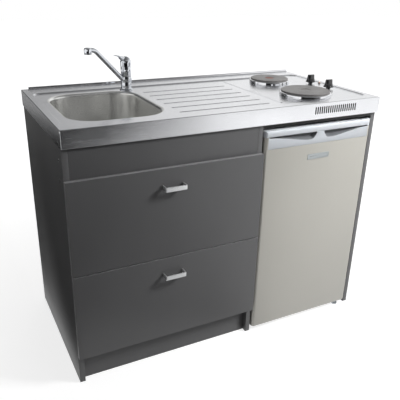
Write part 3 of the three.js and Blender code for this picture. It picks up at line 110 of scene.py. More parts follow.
def grow(tree: Tree, kind: str, inputs: Inputs | None = None, **settings: object) -> Node:
    """Adds a node to a tree.

    Args:
        tree: Tree of a material, a world or a pattern.
        kind: Type of the node.
        inputs: Sockets to link or values to set, by the input's name or number.
        settings: Properties of the node itself.

    Returns:
        The new node.
    """
    node = tree.nodes.new(kind)
    for name, value in settings.items():
        setattr(node, name, value)
    for socket, value in (inputs or {}).items():
        feed(tree, node, socket, value)
    return node


def compute(tree: Tree, operation: str, *values: Socket | float, **settings: object) -> Socket:
    """Result of a Math node in any tree."""
    return grow(tree, "ShaderNodeMath", dict(enumerate(values)), operation=operation,
                **settings).outputs[0]


def plainly_seen(tree: Tree) -> Socket:
    """1 for rays from the camera, off mirrors or through glass; 0 for rays that light things."""
    path = grow(tree, "ShaderNodeLightPath").outputs
    seen = path["Is Camera Ray"]
    for ray in ("Is Glossy Ray", "Is Transmission Ray"):
        seen = compute(tree, "ADD", seen, path[ray], use_clamp=True)
    return seen


class Graph:
    """Node tree of one material, with short calls for the nodes that the finishes use."""

    def __init__(self, name: str) -> None:
        """Makes a material of this name with a Principled shader."""
        self.material = bpy.data.materials.new(name)
        self.material.use_nodes = True
        self.tree = self.material.node_tree
        self.shader = self.tree.nodes["Principled BSDF"]
        self.output = self.tree.nodes["Material Output"]

    def add(self, kind: str, inputs: Inputs | None = None, **settings: object) -> Node:
        """Adds a node to the material, as grow does."""
        return grow(self.tree, kind, inputs, **settings)

    def dress(self, inputs: Inputs) -> None:
        """Links or sets the shader's own sockets."""
        for socket, value in inputs.items():
            feed(self.tree, self.shader, socket, value)

    def coordinates(self, scale: Point = (1, 1, 1), centre: Point = (0, 0, 0),
                    turn: Point = (0, 0, 0)) -> Socket:
        """Object coordinates, moved to a centre, turned and scaled.

        Args:
            scale: Scale of the pattern on each axis.
            centre: Point of the object that becomes the pattern's origin.
            turn: Rotation of the pattern in radians.

        Returns:
            The vector socket.
        """
        source = self.add("ShaderNodeTexCoord").outputs["Object"]
        shrink = tuple(1 / value for value in scale)
        return self.add("ShaderNodeMapping", {
            "Vector": source, "Location": centre, "Rotation": turn, "Scale": shrink,
        }, vector_type="TEXTURE").outputs["Vector"]

    def noise(self, scale: float, detail: float = 4.0, roughness: float = 0.5,
              stretch: Point = (1, 1, 1)) -> Socket:
        """Noise pattern from 0 to 1.

        Args:
            scale: Repeats per metre.
            detail: Octaves.
            roughness: Weight of the finer octaves.
            stretch: Scale of the pattern on each axis.

        Returns:
            The value socket.
        """
        return self.add("ShaderNodeTexNoise", {
            "Vector": self.coordinates(stretch), "Scale": scale, "Detail": detail,
            "Roughness": roughness,
        }).outputs["Fac"]

    def remap(self, value: Socket, low: float, high: float, to_low: float,
              to_high: float) -> Socket:
        """Value moved from one range to another, held at the ends."""
        return self.add("ShaderNodeMapRange", {
            "Value": value, "From Min": low, "From Max": high, "To Min": to_low, "To Max": to_high,
        }).outputs["Result"]

    def compute(self, operation: str, *values: Socket | float) -> Socket:
        """Result of a Math node."""
        return compute(self.tree, operation, *values)

    def mixed(self, *shares: tuple[Socket, float]) -> Socket:
        """Sum of patterns, each with its weight."""
        total = self.compute("MULTIPLY", *shares[0])
        for share in shares[1:]:
            total = self.compute("ADD", total, self.compute("MULTIPLY", *share))
        return total

    def blend(self, share: Socket, first: Colour | Socket, second: Colour | Socket) -> Socket:
        """Colour between two, by a share from 0 to 1."""
        return self.add("ShaderNodeMix", {0: share, 6: first, 7: second},
                        data_type="RGBA").outputs[2]

    def radius(self, centre: Point) -> Socket:
        """Distance from an upright line through a centre."""
        flat = self.coordinates((1, 1, 0.0001), centre)
        return self.add("ShaderNodeVectorMath", {0: flat}, operation="LENGTH").outputs["Value"]

    def bump(self, height: Socket, strength: float, distance: float,
             under: Socket | None = None) -> Socket:
        """Normal from a height pattern.

        Args:
            height: Pattern that gives the height.
            strength: Share of the effect.
            distance: Height of the relief in metres.
            under: Normal that this one is added to.

        Returns:
            The normal socket.
        """
        inputs: Inputs = {"Height": height, "Strength": strength, "Distance": distance}
        if under is not None:
            inputs["Normal"] = under
        return self.add("ShaderNodeBump", inputs).outputs["Normal"]


_MATERIALS: dict[str, bpy.types.Material] = {}


@dataclass(frozen=True)
class Finish:
    """A surface finish; its subclasses add the pattern that the real surface has."""

    name: str
    colour: Colour
    roughness: float = 0.5
    metallic: float = 0.0

    def material(self) -> bpy.types.Material:
        """The finish's material, made once."""
        if self.name not in _MATERIALS:
            graph = Graph(self.name)
            graph.dress({"Base Color": self.colour, "Roughness": self.roughness,
                         "Metallic": self.metallic})
            self.surface(graph)
            _MATERIALS[self.name] = graph.material
        return _MATERIALS[self.name]

    def tones(self, graph: Graph, pattern: Socket, dark: float, light: float) -> Socket:
        """The finish's colour, from darker to lighter by a pattern; dark and light are shares."""
        return graph.blend(pattern, self.shade(dark), self.shade(light))

    def sheen(self, graph: Graph, pattern: Socket, span: tuple[float, float], less: float,
              more: float) -> Socket:
        """The finish's roughness, varied by a pattern.

        Args:
            graph: Graph of the material.
            pattern: Pattern from 0 to 1.
            span: Values of the pattern between which the roughness changes.
            less: Roughness taken off at the low end.
            more: Roughness added at the high end.

        Returns:
            The roughness socket.
        """
        return graph.remap(pattern, *span, self.roughness - less, self.roughness + more)

    def shade(self, share: float) -> Colour:
        """The finish's colour, lighter or darker by a share."""
        return tuple(min(1.0, channel * share) for channel in self.colour)

    def surface(self, graph: Graph) -> None:
        """Adds the finish's pattern to its graph."""


@dataclass(frozen=True)
class BoardFinish(Finish):
    """Melamine facing: fine pressed grain, faint clouding and a soft sheen."""

    def surface(self, graph: Graph) -> None:
        """Adds grain, clouding and sheen."""
        fine = graph.noise(1500.0, 3.0, 0.6)
        cloud = graph.noise(7.0, 3.0, 0.55, (1, 1, 0.6))
        graph.dress({"Base Color": self.tones(graph, cloud, 0.93, 1.07),
                     "Roughness": self.sheen(graph, fine, (0.25, 0.75), 0.05, 0.07),
                     "Normal": graph.bump(fine, 0.18, 0.0002)})


@dataclass(frozen=True)
class BrushedSteel(Finish):
    """Sheet steel with fine parallel grinding marks, smudges and light scratches."""

    metallic: float = 1.0
    stretch: Point = (14.0, 1100.0, 1100.0)
    anisotropic: float = 0.35
    marks: float = 1.0

    def surface(self, graph: Graph) -> None:
        """Adds grinding marks, smudges and scratches."""
        marks = self.marks
        lines = graph.noise(1.0, 5.0, 0.62, self.stretch)
        smudge = graph.noise(9.0, 4.0, 0.6)
        ground = self.sheen(graph, lines, (0.25, 0.75), 0.05 * marks, 0.06 * marks)
        wiped = graph.remap(smudge, 0.35, 0.75, 0.0, 0.05 * marks)
        graph.dress({"Base Color": self.tones(graph, lines, 1 - 0.07 * marks, 1 + 0.05 * marks),
                     "Roughness": graph.compute("ADD", ground, wiped),
                     "Anisotropic": self.anisotropic,
                     "Normal": graph.bump(lines, 0.12 * marks, 0.00004)})


@dataclass(frozen=True)
class PolishedMetal(Finish):
    """Bright metal with faint haze and water marks."""

    metallic: float = 1.0
    haze: float = 0.05

    def surface(self, graph: Graph) -> None:
        """Adds haze and tiny dents."""
        cloud = graph.noise(60.0, 5.0, 0.6)
        graph.dress({"Roughness": self.sheen(graph, cloud, (0.4, 0.75), 0.0, self.haze),
                     "Normal": graph.bump(graph.noise(420.0, 2.0), 0.03, 0.0001)})


@dataclass(frozen=True)
class SpunIron(Finish):
    """Cast-iron heating face: turned rings, burnt-in tint and, on one plate, a marked centre."""

    centre: Point = (0.0, 0.0, 0.0)
    spot: Colour | None = None
    spot_radius: float = 0.017
    pitch: float = 0.0016
    metallic: float = 0.55

    def surface(self, graph: Graph) -> None:
        """Adds turned rings, heat tint and the centre mark."""
        distance = graph.radius(self.centre)
        wobble = graph.compute("MULTIPLY", graph.noise(90.0, 3.0, 0.6), 1.5)
        phase = graph.compute("MULTIPLY", distance, math.tau / self.pitch)
        rings = graph.compute("SINE", graph.compute("ADD", phase, wobble))
        share = graph.remap(rings, -1.0, 1.0, 0.0, 1.0)
        cloud = graph.noise(26.0, 5.0, 0.65)
        colour = self.tones(graph, graph.mixed((share, 0.35), (cloud, 0.65)), 0.72, 1.25)
        if self.spot is not None:
            inside = graph.remap(distance, self.spot_radius - 0.0005, self.spot_radius + 0.0005,
                                 1.0, 0.0)
            colour = graph.blend(inside, colour, self.spot)
        grit = graph.bump(graph.noise(1400.0, 2.0), 0.2, 0.0002)
        graph.dress({"Base Color": colour,
                     "Roughness": self.sheen(graph, cloud, (0.3, 0.7), 0.06, 0.08),
                     "Normal": graph.bump(share, 0.35, 0.0003, grit)})


@dataclass(frozen=True)
class Moulded(Finish):
    """Moulded plastic or enamel: faint orange peel and handling marks."""

    peel: float = 700.0
    coat: float = 0.0

    def surface(self, graph: Graph) -> None:
        """Adds orange peel, handling marks and a clear coat."""
        marks = graph.noise(18.0, 5.0, 0.65)
        graph.dress({"Base Color": self.tones(graph, marks, 1.03, 0.95),
                     "Roughness": self.sheen(graph, marks, (0.3, 0.75), 0.04, 0.07),
                     "Coat Weight": self.coat,
                     "Normal": graph.bump(graph.noise(self.peel, 2.0), 0.08, 0.00015)})


@dataclass(frozen=True)
class MetallicPaint(Finish):
    """Pale metallic door paint with a fine flake and an upright brushed texture."""

    metallic: float = 0.35

    def surface(self, graph: Graph) -> None:
        """Adds flake, upright brushing and clouding."""
        brush = graph.noise(1.0, 4.0, 0.6, (700.0, 700.0, 9.0))
        mixed = graph.mixed((graph.noise(2600.0, 1.0), 0.35), (brush, 0.35),
                            (graph.noise(4.0, 2.0), 0.3))
        graph.dress({"Base Color": self.tones(graph, mixed, 0.9, 1.1),
                     "Roughness": self.sheen(graph, brush, (0.3, 0.7), 0.04, 0.05),
                     "Normal": graph.bump(brush, 0.06, 0.0001)})


@dataclass(frozen=True)
class Clear(Finish):
    """Clear glass or plastic that shows what lies behind."""

    density: float = 0.25
    ior: float = 1.49

    def surface(self, graph: Graph) -> None:
        """Adds transparency and faint marks."""
        marks = graph.noise(30.0, 4.0, 0.6)
        graph.dress({"Roughness": self.sheen(graph, marks, (0.3, 0.8), 0.0, 0.06),
                     "Transmission Weight": 1.0 - self.density, "IOR": self.ior})


@dataclass(frozen=True)
class RawBoard(Finish):
    """Hardboard or white drawer board with short fibres."""

    def surface(self, graph: Graph) -> None:
        """Adds fibres and a rough grain."""
        fibres = graph.noise(900.0, 5.0, 0.7, (1.0, 1.0, 0.25))
        graph.dress({"Base Color": self.tones(graph, fibres, 0.82, 1.12),
                     "Normal": graph.bump(fibres, 0.3, 0.0003)})


BOARD = BoardFinish("anthracite_board", srgb(86, 86, 87), 0.42)
# Painted highlight: the boards' narrow edges are made paler than their faces to stand for the light
# that catches them; the shaded left panel keeps its face colour there.
BOARD_EDGE_HIGHLIGHT = BoardFinish("anthracite_edge_painted_highlight", srgb(100, 100, 101), 0.36)
# Painted shade: the niche rail is made near black to stand for the shadow it lies in below the
# worktop's apron.
RAIL_SHADE_BOARD = BoardFinish("rail_board_painted_shade", srgb(38, 38, 39), 0.6)
# Painted highlight: the drawer fronts' narrow edges are made much paler than the fronts to stand
# for the light that catches them.
FRONT_EDGE_HIGHLIGHT = BoardFinish("front_edge_painted_highlight", srgb(134, 134, 136), 0.36)
WHITE_BOARD = RawBoard("white_drawer_board", srgb(226, 226, 222), 0.5)
HARDBOARD = RawBoard("hardboard_back", srgb(150, 118, 84), 0.8)
WORKTOP_STEEL = BrushedSteel("brushed_worktop", srgb(233, 234, 237), 0.2)
BOWL_STEEL = BrushedSteel("satin_bowl", srgb(232, 232, 230), 0.24, metallic=0.93,
                          stretch=(260.0, 260.0, 12.0), anisotropic=0.0, marks=0.1)
POLISHED = PolishedMetal("polished_ring", srgb(236, 237, 240), 0.05, haze=0.03)
CHROME = PolishedMetal("chrome_plate", srgb(216, 219, 224), 0.05, haze=0.03)
SATIN = BrushedSteel("satin_handle", srgb(228, 229, 230), 0.28, metallic=0.75,
                     stretch=(20.0, 900.0, 900.0))
ZINC = PolishedMetal("zinc_plated", srgb(178, 182, 186), 0.32, haze=0.12)
BLACK_PLASTIC = Moulded("black_knob", srgb(18, 18, 20), 0.14, coat=1.0)
# Painted shade: a near-black sheet behind the apron slots stands for the darkness inside them.
SLOT_SHADE = Moulded("slot_painted_shade", srgb(14, 14, 15), 0.8)
WHITE_PLASTIC = Moulded("white_plastic", srgb(236, 238, 237), 0.32)
WHITE_COAT = Moulded("white_powder_coat", srgb(233, 235, 234), 0.36, peel=1300.0)
LINER = Moulded("refrigerator_liner", srgb(238, 240, 240), 0.28, peel=350.0)
GREY_PLASTIC = Moulded("grey_fitting", srgb(150, 153, 156), 0.45)
RUBBER = Moulded("seal_rubber", srgb(142, 145, 148), 0.7, peel=1800.0)
DOOR_PAINT = MetallicPaint("door_paint", srgb(183, 181, 174), 0.38)
DOOR_TRIM = Moulded("door_trim", srgb(190, 194, 199), 0.34)
CAP_TRIM = Moulded("cap_trim", srgb(208, 212, 217), 0.3)
# Painted shade: the grip pockets get a darker grey that stands for the shadow cast into them by the
# door's top cap.
POCKET_SHADE = Moulded("grip_pocket_painted_shade", srgb(112, 114, 117), 0.5)
BARE_PLATE = PolishedMetal("bare_plate", srgb(176, 181, 183), 0.36)
GLASS = Clear("shelf_glass", srgb(214, 236, 228), 0.02, density=0.1, ior=1.5)
CLEAR_PLASTIC = Clear("clear_drawer", srgb(225, 236, 240), 0.05, density=0.3)
LENS = Moulded("lamp_lens", srgb(172, 148, 134), 0.12, coat=0.8)
BLACK_ENAMEL = Moulded("black_enamel", srgb(24, 25, 27), 0.35, peel=900.0)
DIAL_PAINT = Moulded("dial_marks", srgb(225, 225, 222), 0.5)


# ------------------------------------------------------------------ mesh making


def new_mesh(name: str, points: Iterable[Vector], faces: Iterable[Sequence[int]]) -> Mesh:
    """Mesh from points and faces, with its doubles merged and its normals pointing out.

    Args:
        name: Name of the mesh.
        points: Corners in metres.
        faces: Corner numbers of each face.

    Returns:
        The new mesh.
    """
    mesh = bpy.data.meshes.new(name)
    mesh.from_pydata([tuple(point) for point in points], [], [tuple(face) for face in faces])
    tidy(mesh)
    return mesh


def tidy(mesh: Mesh) -> None:
    """Merges a mesh's doubles and turns its faces outwards."""
    work = bmesh.new()
    work.from_mesh(mesh)
    bmesh.ops.remove_doubles(work, verts=work.verts, dist=MERGE)
    bmesh.ops.recalc_face_normals(work, faces=work.faces)
    work.to_mesh(mesh)
    work.free()


def smooth(mesh: Mesh, angle: float) -> None:
    """Shades a mesh smooth, except across edges sharper than an angle in degrees."""
    mesh.shade_smooth()
    mesh.set_sharp_from_angle(angle=math.radians(angle))


def shaded(name: str, shape: Shape, sharp: float = 50.0) -> Mesh:
    """Mesh of a shape, shaded smooth except across edges sharper than an angle in degrees."""
    mesh = new_mesh(name, *shape)
    smooth(mesh, sharp)
    return mesh


def linked(name: str, data: bpy.types.ID) -> bpy.types.Object:
    """Object of a mesh, lamp or camera, linked to the scene."""
    obj = bpy.data.objects.new(name, data)
    bpy.context.scene.collection.objects.link(obj)
    return obj


def turns(count: int) -> list[float]:
    """Angles of equal steps once round a circle, in radians."""
    return [math.tau * step / count for step in range(count)]


def signed_power(value: float, power: float) -> float:
    """Power of a number's size, with the number's sign."""
    return math.copysign(abs(value) ** power, value)


def arc(x: float, z: float, across: float, up: float, degrees: Iterable[float]) -> Outline:
    """Points on an ellipse about a centre, at angles in degrees."""
    return [(x + across * math.cos(math.radians(turn)), z + up * math.sin(math.radians(turn)))
            for turn in degrees]


def baked(obj: bpy.types.Object, angle: float) -> Mesh:
    """The object's mesh with its modifiers applied, as plain smooth-shaded data.

    Args:
        obj: Object whose modifiers are applied; it is deleted afterwards.
        angle: Edges sharper than this stay sharp, in degrees.

    Returns:
        The evaluated mesh.
    """
    depsgraph = bpy.context.evaluated_depsgraph_get()
    mesh = bpy.data.meshes.new_from_object(obj.evaluated_get(depsgraph), depsgraph=depsgraph)
    bpy.data.objects.remove(obj)
    smooth(mesh, angle)
    return mesh


def skin_loops(loops: Sequence[Loop], closed: bool = True) -> Shape:
    """Points and faces of a skin over loops with equal numbers of points.

    Args:
        loops: Closed loops in order.
        closed: Whether the first and the last loop are each closed by a face.

    Returns:
        The points and the faces.
    """
    count = len(loops[0])
    points = [point for loop in loops for point in loop]
    faces = [[ring * count + i, ring * count + (i + 1) % count,
              (ring + 1) * count + (i + 1) % count, (ring + 1) * count + i]
             for ring in range(len(loops) - 1) for i in range(count)]
    if closed:
        faces.append(list(range(count))[::-1])
        faces.append([(len(loops) - 1) * count + i for i in range(count)])
    return points, faces


def turned(profile: Outline, x: float, y: float, z: float, segments: int = 64) -> Shape:
    """Revolved shape about an upright line; profile points are (radius, height) in millimetres.

    Args:
        profile: Outline, starting and ending on the axis or closing on itself.
        x: Place of the axis.
        y: Place of the axis.
        z: Height that the outline's heights are counted from.
        segments: Facets round the axis.

    Returns:
        The points and the faces.
    """
    closed = profile[0][0] > 0
    rings = list(profile) + ([profile[0]] if closed else [])
    loops = [[place(x + r * math.cos(math.tau * i / segments),
                    y + r * math.sin(math.tau * i / segments), z + h) for i in range(segments)]
             for r, h in rings]
    return skin_loops(loops, False)


def rounded_profile(points: Outline, radius: float, steps: int = 3) -> Outline:
    """Outline with each inner corner replaced by a short curve.

    Args:
        points: Corners of an open outline.
        radius: Distance from a corner at which its curve starts.
        steps: Pieces of each curve.

    Returns:
        The eased outline.
    """
    eased: Outline = [points[0]]
    for before, corner, after in zip(points, points[1:], points[2:]):
        here = Vector(corner)
        first = Vector(before) - here
        second = Vector(after) - here
        reach = min(radius, first.length / 2.2, second.length / 2.2)
        start = here + first.normalized() * reach
        end = here + second.normalized() * reach
        for i in range(steps + 1):
            share = i / steps
            point = start * (1 - share) ** 2 + here * 2 * share * (1 - share) + end * share ** 2
            eased.append((point.x, point.y))
    eased.append(points[-1])
    return eased


def rounded_loop(x: float, y: float, width: float, depth: float, radius: float, z: float,
                 corner_steps: int = 14, side_steps: int = 6) -> Loop:
    """Level loop round a rectangle with round corners.

    Args:
        x: Centre.
        y: Centre.
        width: Size along x.
        depth: Size along y.
        radius: Corner radius.
        z: Height.
        corner_steps: Pieces of each corner.
        side_steps: Pieces of each straight side.

    Returns:
        The loop, counter-clockwise.
    """
    loop: Loop = []
    signs = [(1, -1), (1, 1), (-1, 1), (-1, -1)]
    for quarter, (sx, sy) in enumerate(signs):
        cx = x + sx * (width / 2 - radius)
        cy = y + sy * (depth / 2 - radius)
        for i in range(corner_steps + 1):
            turn = (quarter - 1 + i / corner_steps) * math.pi / 2
            loop.append(place(cx + radius * math.cos(turn), cy + radius * math.sin(turn), z))
        nx, ny = signs[(quarter + 1) % 4]
        start = loop[-1]
        turn = quarter * math.pi / 2
        end = place(x + nx * (width / 2 - radius) + radius * math.cos(turn),
                    y + ny * (depth / 2 - radius) + radius * math.sin(turn), z)
        loop += [start.lerp(end, i / side_steps) for i in range(1, side_steps)]
    return loop


def swept(path: Sequence[Vector], section: Callable[[float], Outline], up: Vector) -> Shape:
    """Skin of a section carried along a path.

    Args:
        path: Stations of the path in metres.
        section: Gives the section's (side, up) points in millimetres at a share of the path.
        up: Direction that the section's second coordinate leans to.

    Returns:
        The points and the faces.
    """
    loops = []
    for i, point in enumerate(path):
        ahead = path[min(i + 1, len(path) - 1)] - path[max(i - 1, 0)]
        along = ahead.normalized()
        side = along.cross(up).normalized()
        over = side.cross(along)
        outline = section(i / (len(path) - 1))
        loops.append([point + (side * a + over * b) * MM for a, b in outline])
    return skin_loops(loops)


def lathe(profile: Outline, x: float, y: float, z: float, segments: int = 64,
          sharp: float = 32.0) -> Mesh:
    """Smooth-shaded turned mesh.

    Args:
        profile: Outline as turned takes it.
        x: Place of the axis.
        y: Place of the axis.
        z: Height that the outline's heights are counted from.
        segments: Facets round the axis.
        sharp: Edges sharper than this stay sharp, in degrees.

    Returns:
        The mesh.
    """
    return shaded("lathe", turned(profile, x, y, z, segments), sharp)


def smooth_line(controls: Outline, steps: int) -> Outline:
    """Curve through control points.

    Args:
        controls: Points that the curve passes through.
        steps: Pieces between two control points.

    Returns:
        The curve's points.
    """
    ends = [controls[0], *controls, controls[-1]]
    line: Outline = []
    for a, b, c, d in zip(ends, ends[1:], ends[2:], ends[3:]):
        for i in range(steps):
            t = i / steps
            line.append(tuple(0.5 * (2 * q + (r - p) * t + (2 * p - 5 * q + 4 * r - s) * t * t
                                     + (3 * q - p - 3 * r + s) * t ** 3)
                              for p, q, r, s in zip(a, b, c, d)))
    line.append(tuple(controls[-1]))
    return line


def combined(*parts: Shape) -> Shape:
    """One shape of several."""
    points: list[Vector] = []
    faces: list[list[int]] = []
    for part_points, part_faces in parts:
        start = len(points)
        points += part_points
        faces += [[start + corner for corner in face] for face in part_faces]
    return points, faces


def block(x0: float, x1: float, y0: float, y1: float, z0: float, z1: float) -> Shape:
    """Points and faces of a box between two values on each axis, in millimetres."""
    low = [place(x0, y0, z0), place(x1, y0, z0), place(x1, y1, z0), place(x0, y1, z0)]
    high = [point + Vector((0, 0, (z1 - z0) * MM)) for point in low]
    return skin_loops([low, high])


def bevelled(mesh: Mesh, width: float, segments: int = 2, angle: float = 30.0,
             sharp: float = 40.0) -> Mesh:
    """The mesh with its edges eased.

    Args:
        mesh: Closed mesh.
        width: Width of the bevel in millimetres.
        segments: Pieces of each bevel.
        angle: Edges sharper than this are eased, in degrees.
        sharp: Edges sharper than this stay sharp in shading, in degrees.

    Returns:
        The eased mesh.
    """
    obj = linked("bevel_work", mesh)
    bevel = obj.modifiers.new("ease", "BEVEL")
    bevel.width = width * MM
    bevel.segments = segments
    bevel.limit_method = "ANGLE"
    bevel.angle_limit = math.radians(angle)
    return baked(obj, sharp)


def carved(mesh: Mesh, cutters: Sequence[Mesh], sharp: float) -> Mesh:
    """The mesh with other closed meshes cut out of it.

    Args:
        mesh: Closed mesh.
        cutters: Closed meshes to remove from it.
        sharp: Edges sharper than this stay sharp in shading, in degrees.

    Returns:
        The cut mesh.
    """
    obj = linked("carve_work", mesh)
    tools = [linked("carve_tool", cutter) for cutter in cutters]
    for tool in tools:
        modifier = obj.modifiers.new("cut", "BOOLEAN")
        modifier.operation = "DIFFERENCE"
        modifier.solver = "EXACT"
        modifier.object = tool
    result = baked(obj, sharp)
    for tool in tools:
        bpy.data.objects.remove(tool)
    return result


def merged(name: str, *meshes: Mesh) -> Mesh:
    """One mesh that holds several finished meshes, with their shading kept.

    Args:
        name: Name of the new mesh.
        meshes: Meshes to join.

    Returns:
        The new mesh.
    """
    objects = [linked("merge_work", mesh) for mesh in meshes]
    with bpy.context.temp_override(active_object=objects[0], selected_editable_objects=objects,
                                   object=objects[0], selected_objects=objects):
        bpy.ops.object.join()
    result = objects[0].data
    bpy.data.objects.remove(objects[0])
    result.name = name
    return result


def refined(node: str, width: float, segments: int = 2, angle: float = 30.0,
            sharp: float = 40.0) -> Mesh:
    """Copy of a CAD node's mesh, merged, with its edges eased.

    Args:
        node: Name of the CAD node.
        width: Width of the easing in millimetres; 0 leaves the edges as they are.
        segments: Pieces of each eased edge.
        angle: Edges sharper than this are eased, in degrees.
        sharp: Edges sharper than this stay sharp in shading, in degrees.

    Returns:
        The eased copy.
    """
    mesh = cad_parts[node].data.copy()
    work = bmesh.new()
    work.from_mesh(mesh)
    bmesh.ops.remove_doubles(work, verts=work.verts, dist=2e-6)
    bmesh.ops.dissolve_limit(work, angle_limit=math.radians(0.6), verts=work.verts,
                             edges=work.edges)
    work.to_mesh(mesh)
    work.free()
    mesh.materials.clear()
    if width == 0:
        smooth(mesh, sharp)
        return mesh
    return bevelled(mesh, width, segments, angle, sharp)


def add_piece(name: str, mesh: Mesh, body: str, slot: str, *finishes: Finish,
              replaces: Sequence[str] = (), numbers: Sequence[int] = ()) -> None:
    """Makes an object of a mesh, dresses it and lets it ride on its body.

    Args:
        name: Name of the piece.
        mesh: Its mesh, in metres in the frame.
        body: Body that it moves with.
        slot: Material slot of the record; not used.
        finishes: Finish of each of the mesh's material numbers.
        replaces: CAD nodes that it stands for.
        numbers: Material number of each face, where a piece has more than one finish.
    """
    mesh.name = name
    mesh.materials.clear()
    for finish in finishes:
        mesh.materials.append(finish.material())
    if numbers:
        mesh.polygons.foreach_set("material_index", numbers)
    obj = linked(name, mesh)
    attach(obj, body)
    if replaces:
        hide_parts(*replaces)
    LOG.info("%s: %d faces on %s", name, len(mesh.polygons), body)


def dress_node(node: str, name: str, body: str, slot: str, finish: Finish, *easing: float) -> None:
    """Adds a piece that is a CAD node's own mesh with its edges eased.

    Args:
        node: Name of the CAD node.
        name: Name of the piece.
        body: Body that it moves with.
        slot: Material slot of the record; passed on to add_piece, which does not use it.
        finish: Finish of the whole piece.
        easing: Width of the easing, and the further numbers that refined takes.
    """
    add_piece(name, refined(node, *easing), body, slot, finish, replaces=(node,))


# ------------------------------------------------------------------ Geometry Nodes patterns


class Stamp(Enum):
    """Shape that a pattern repeats."""

    SLOT = "slot"
    CAP = "cap"
    TICK = "tick"


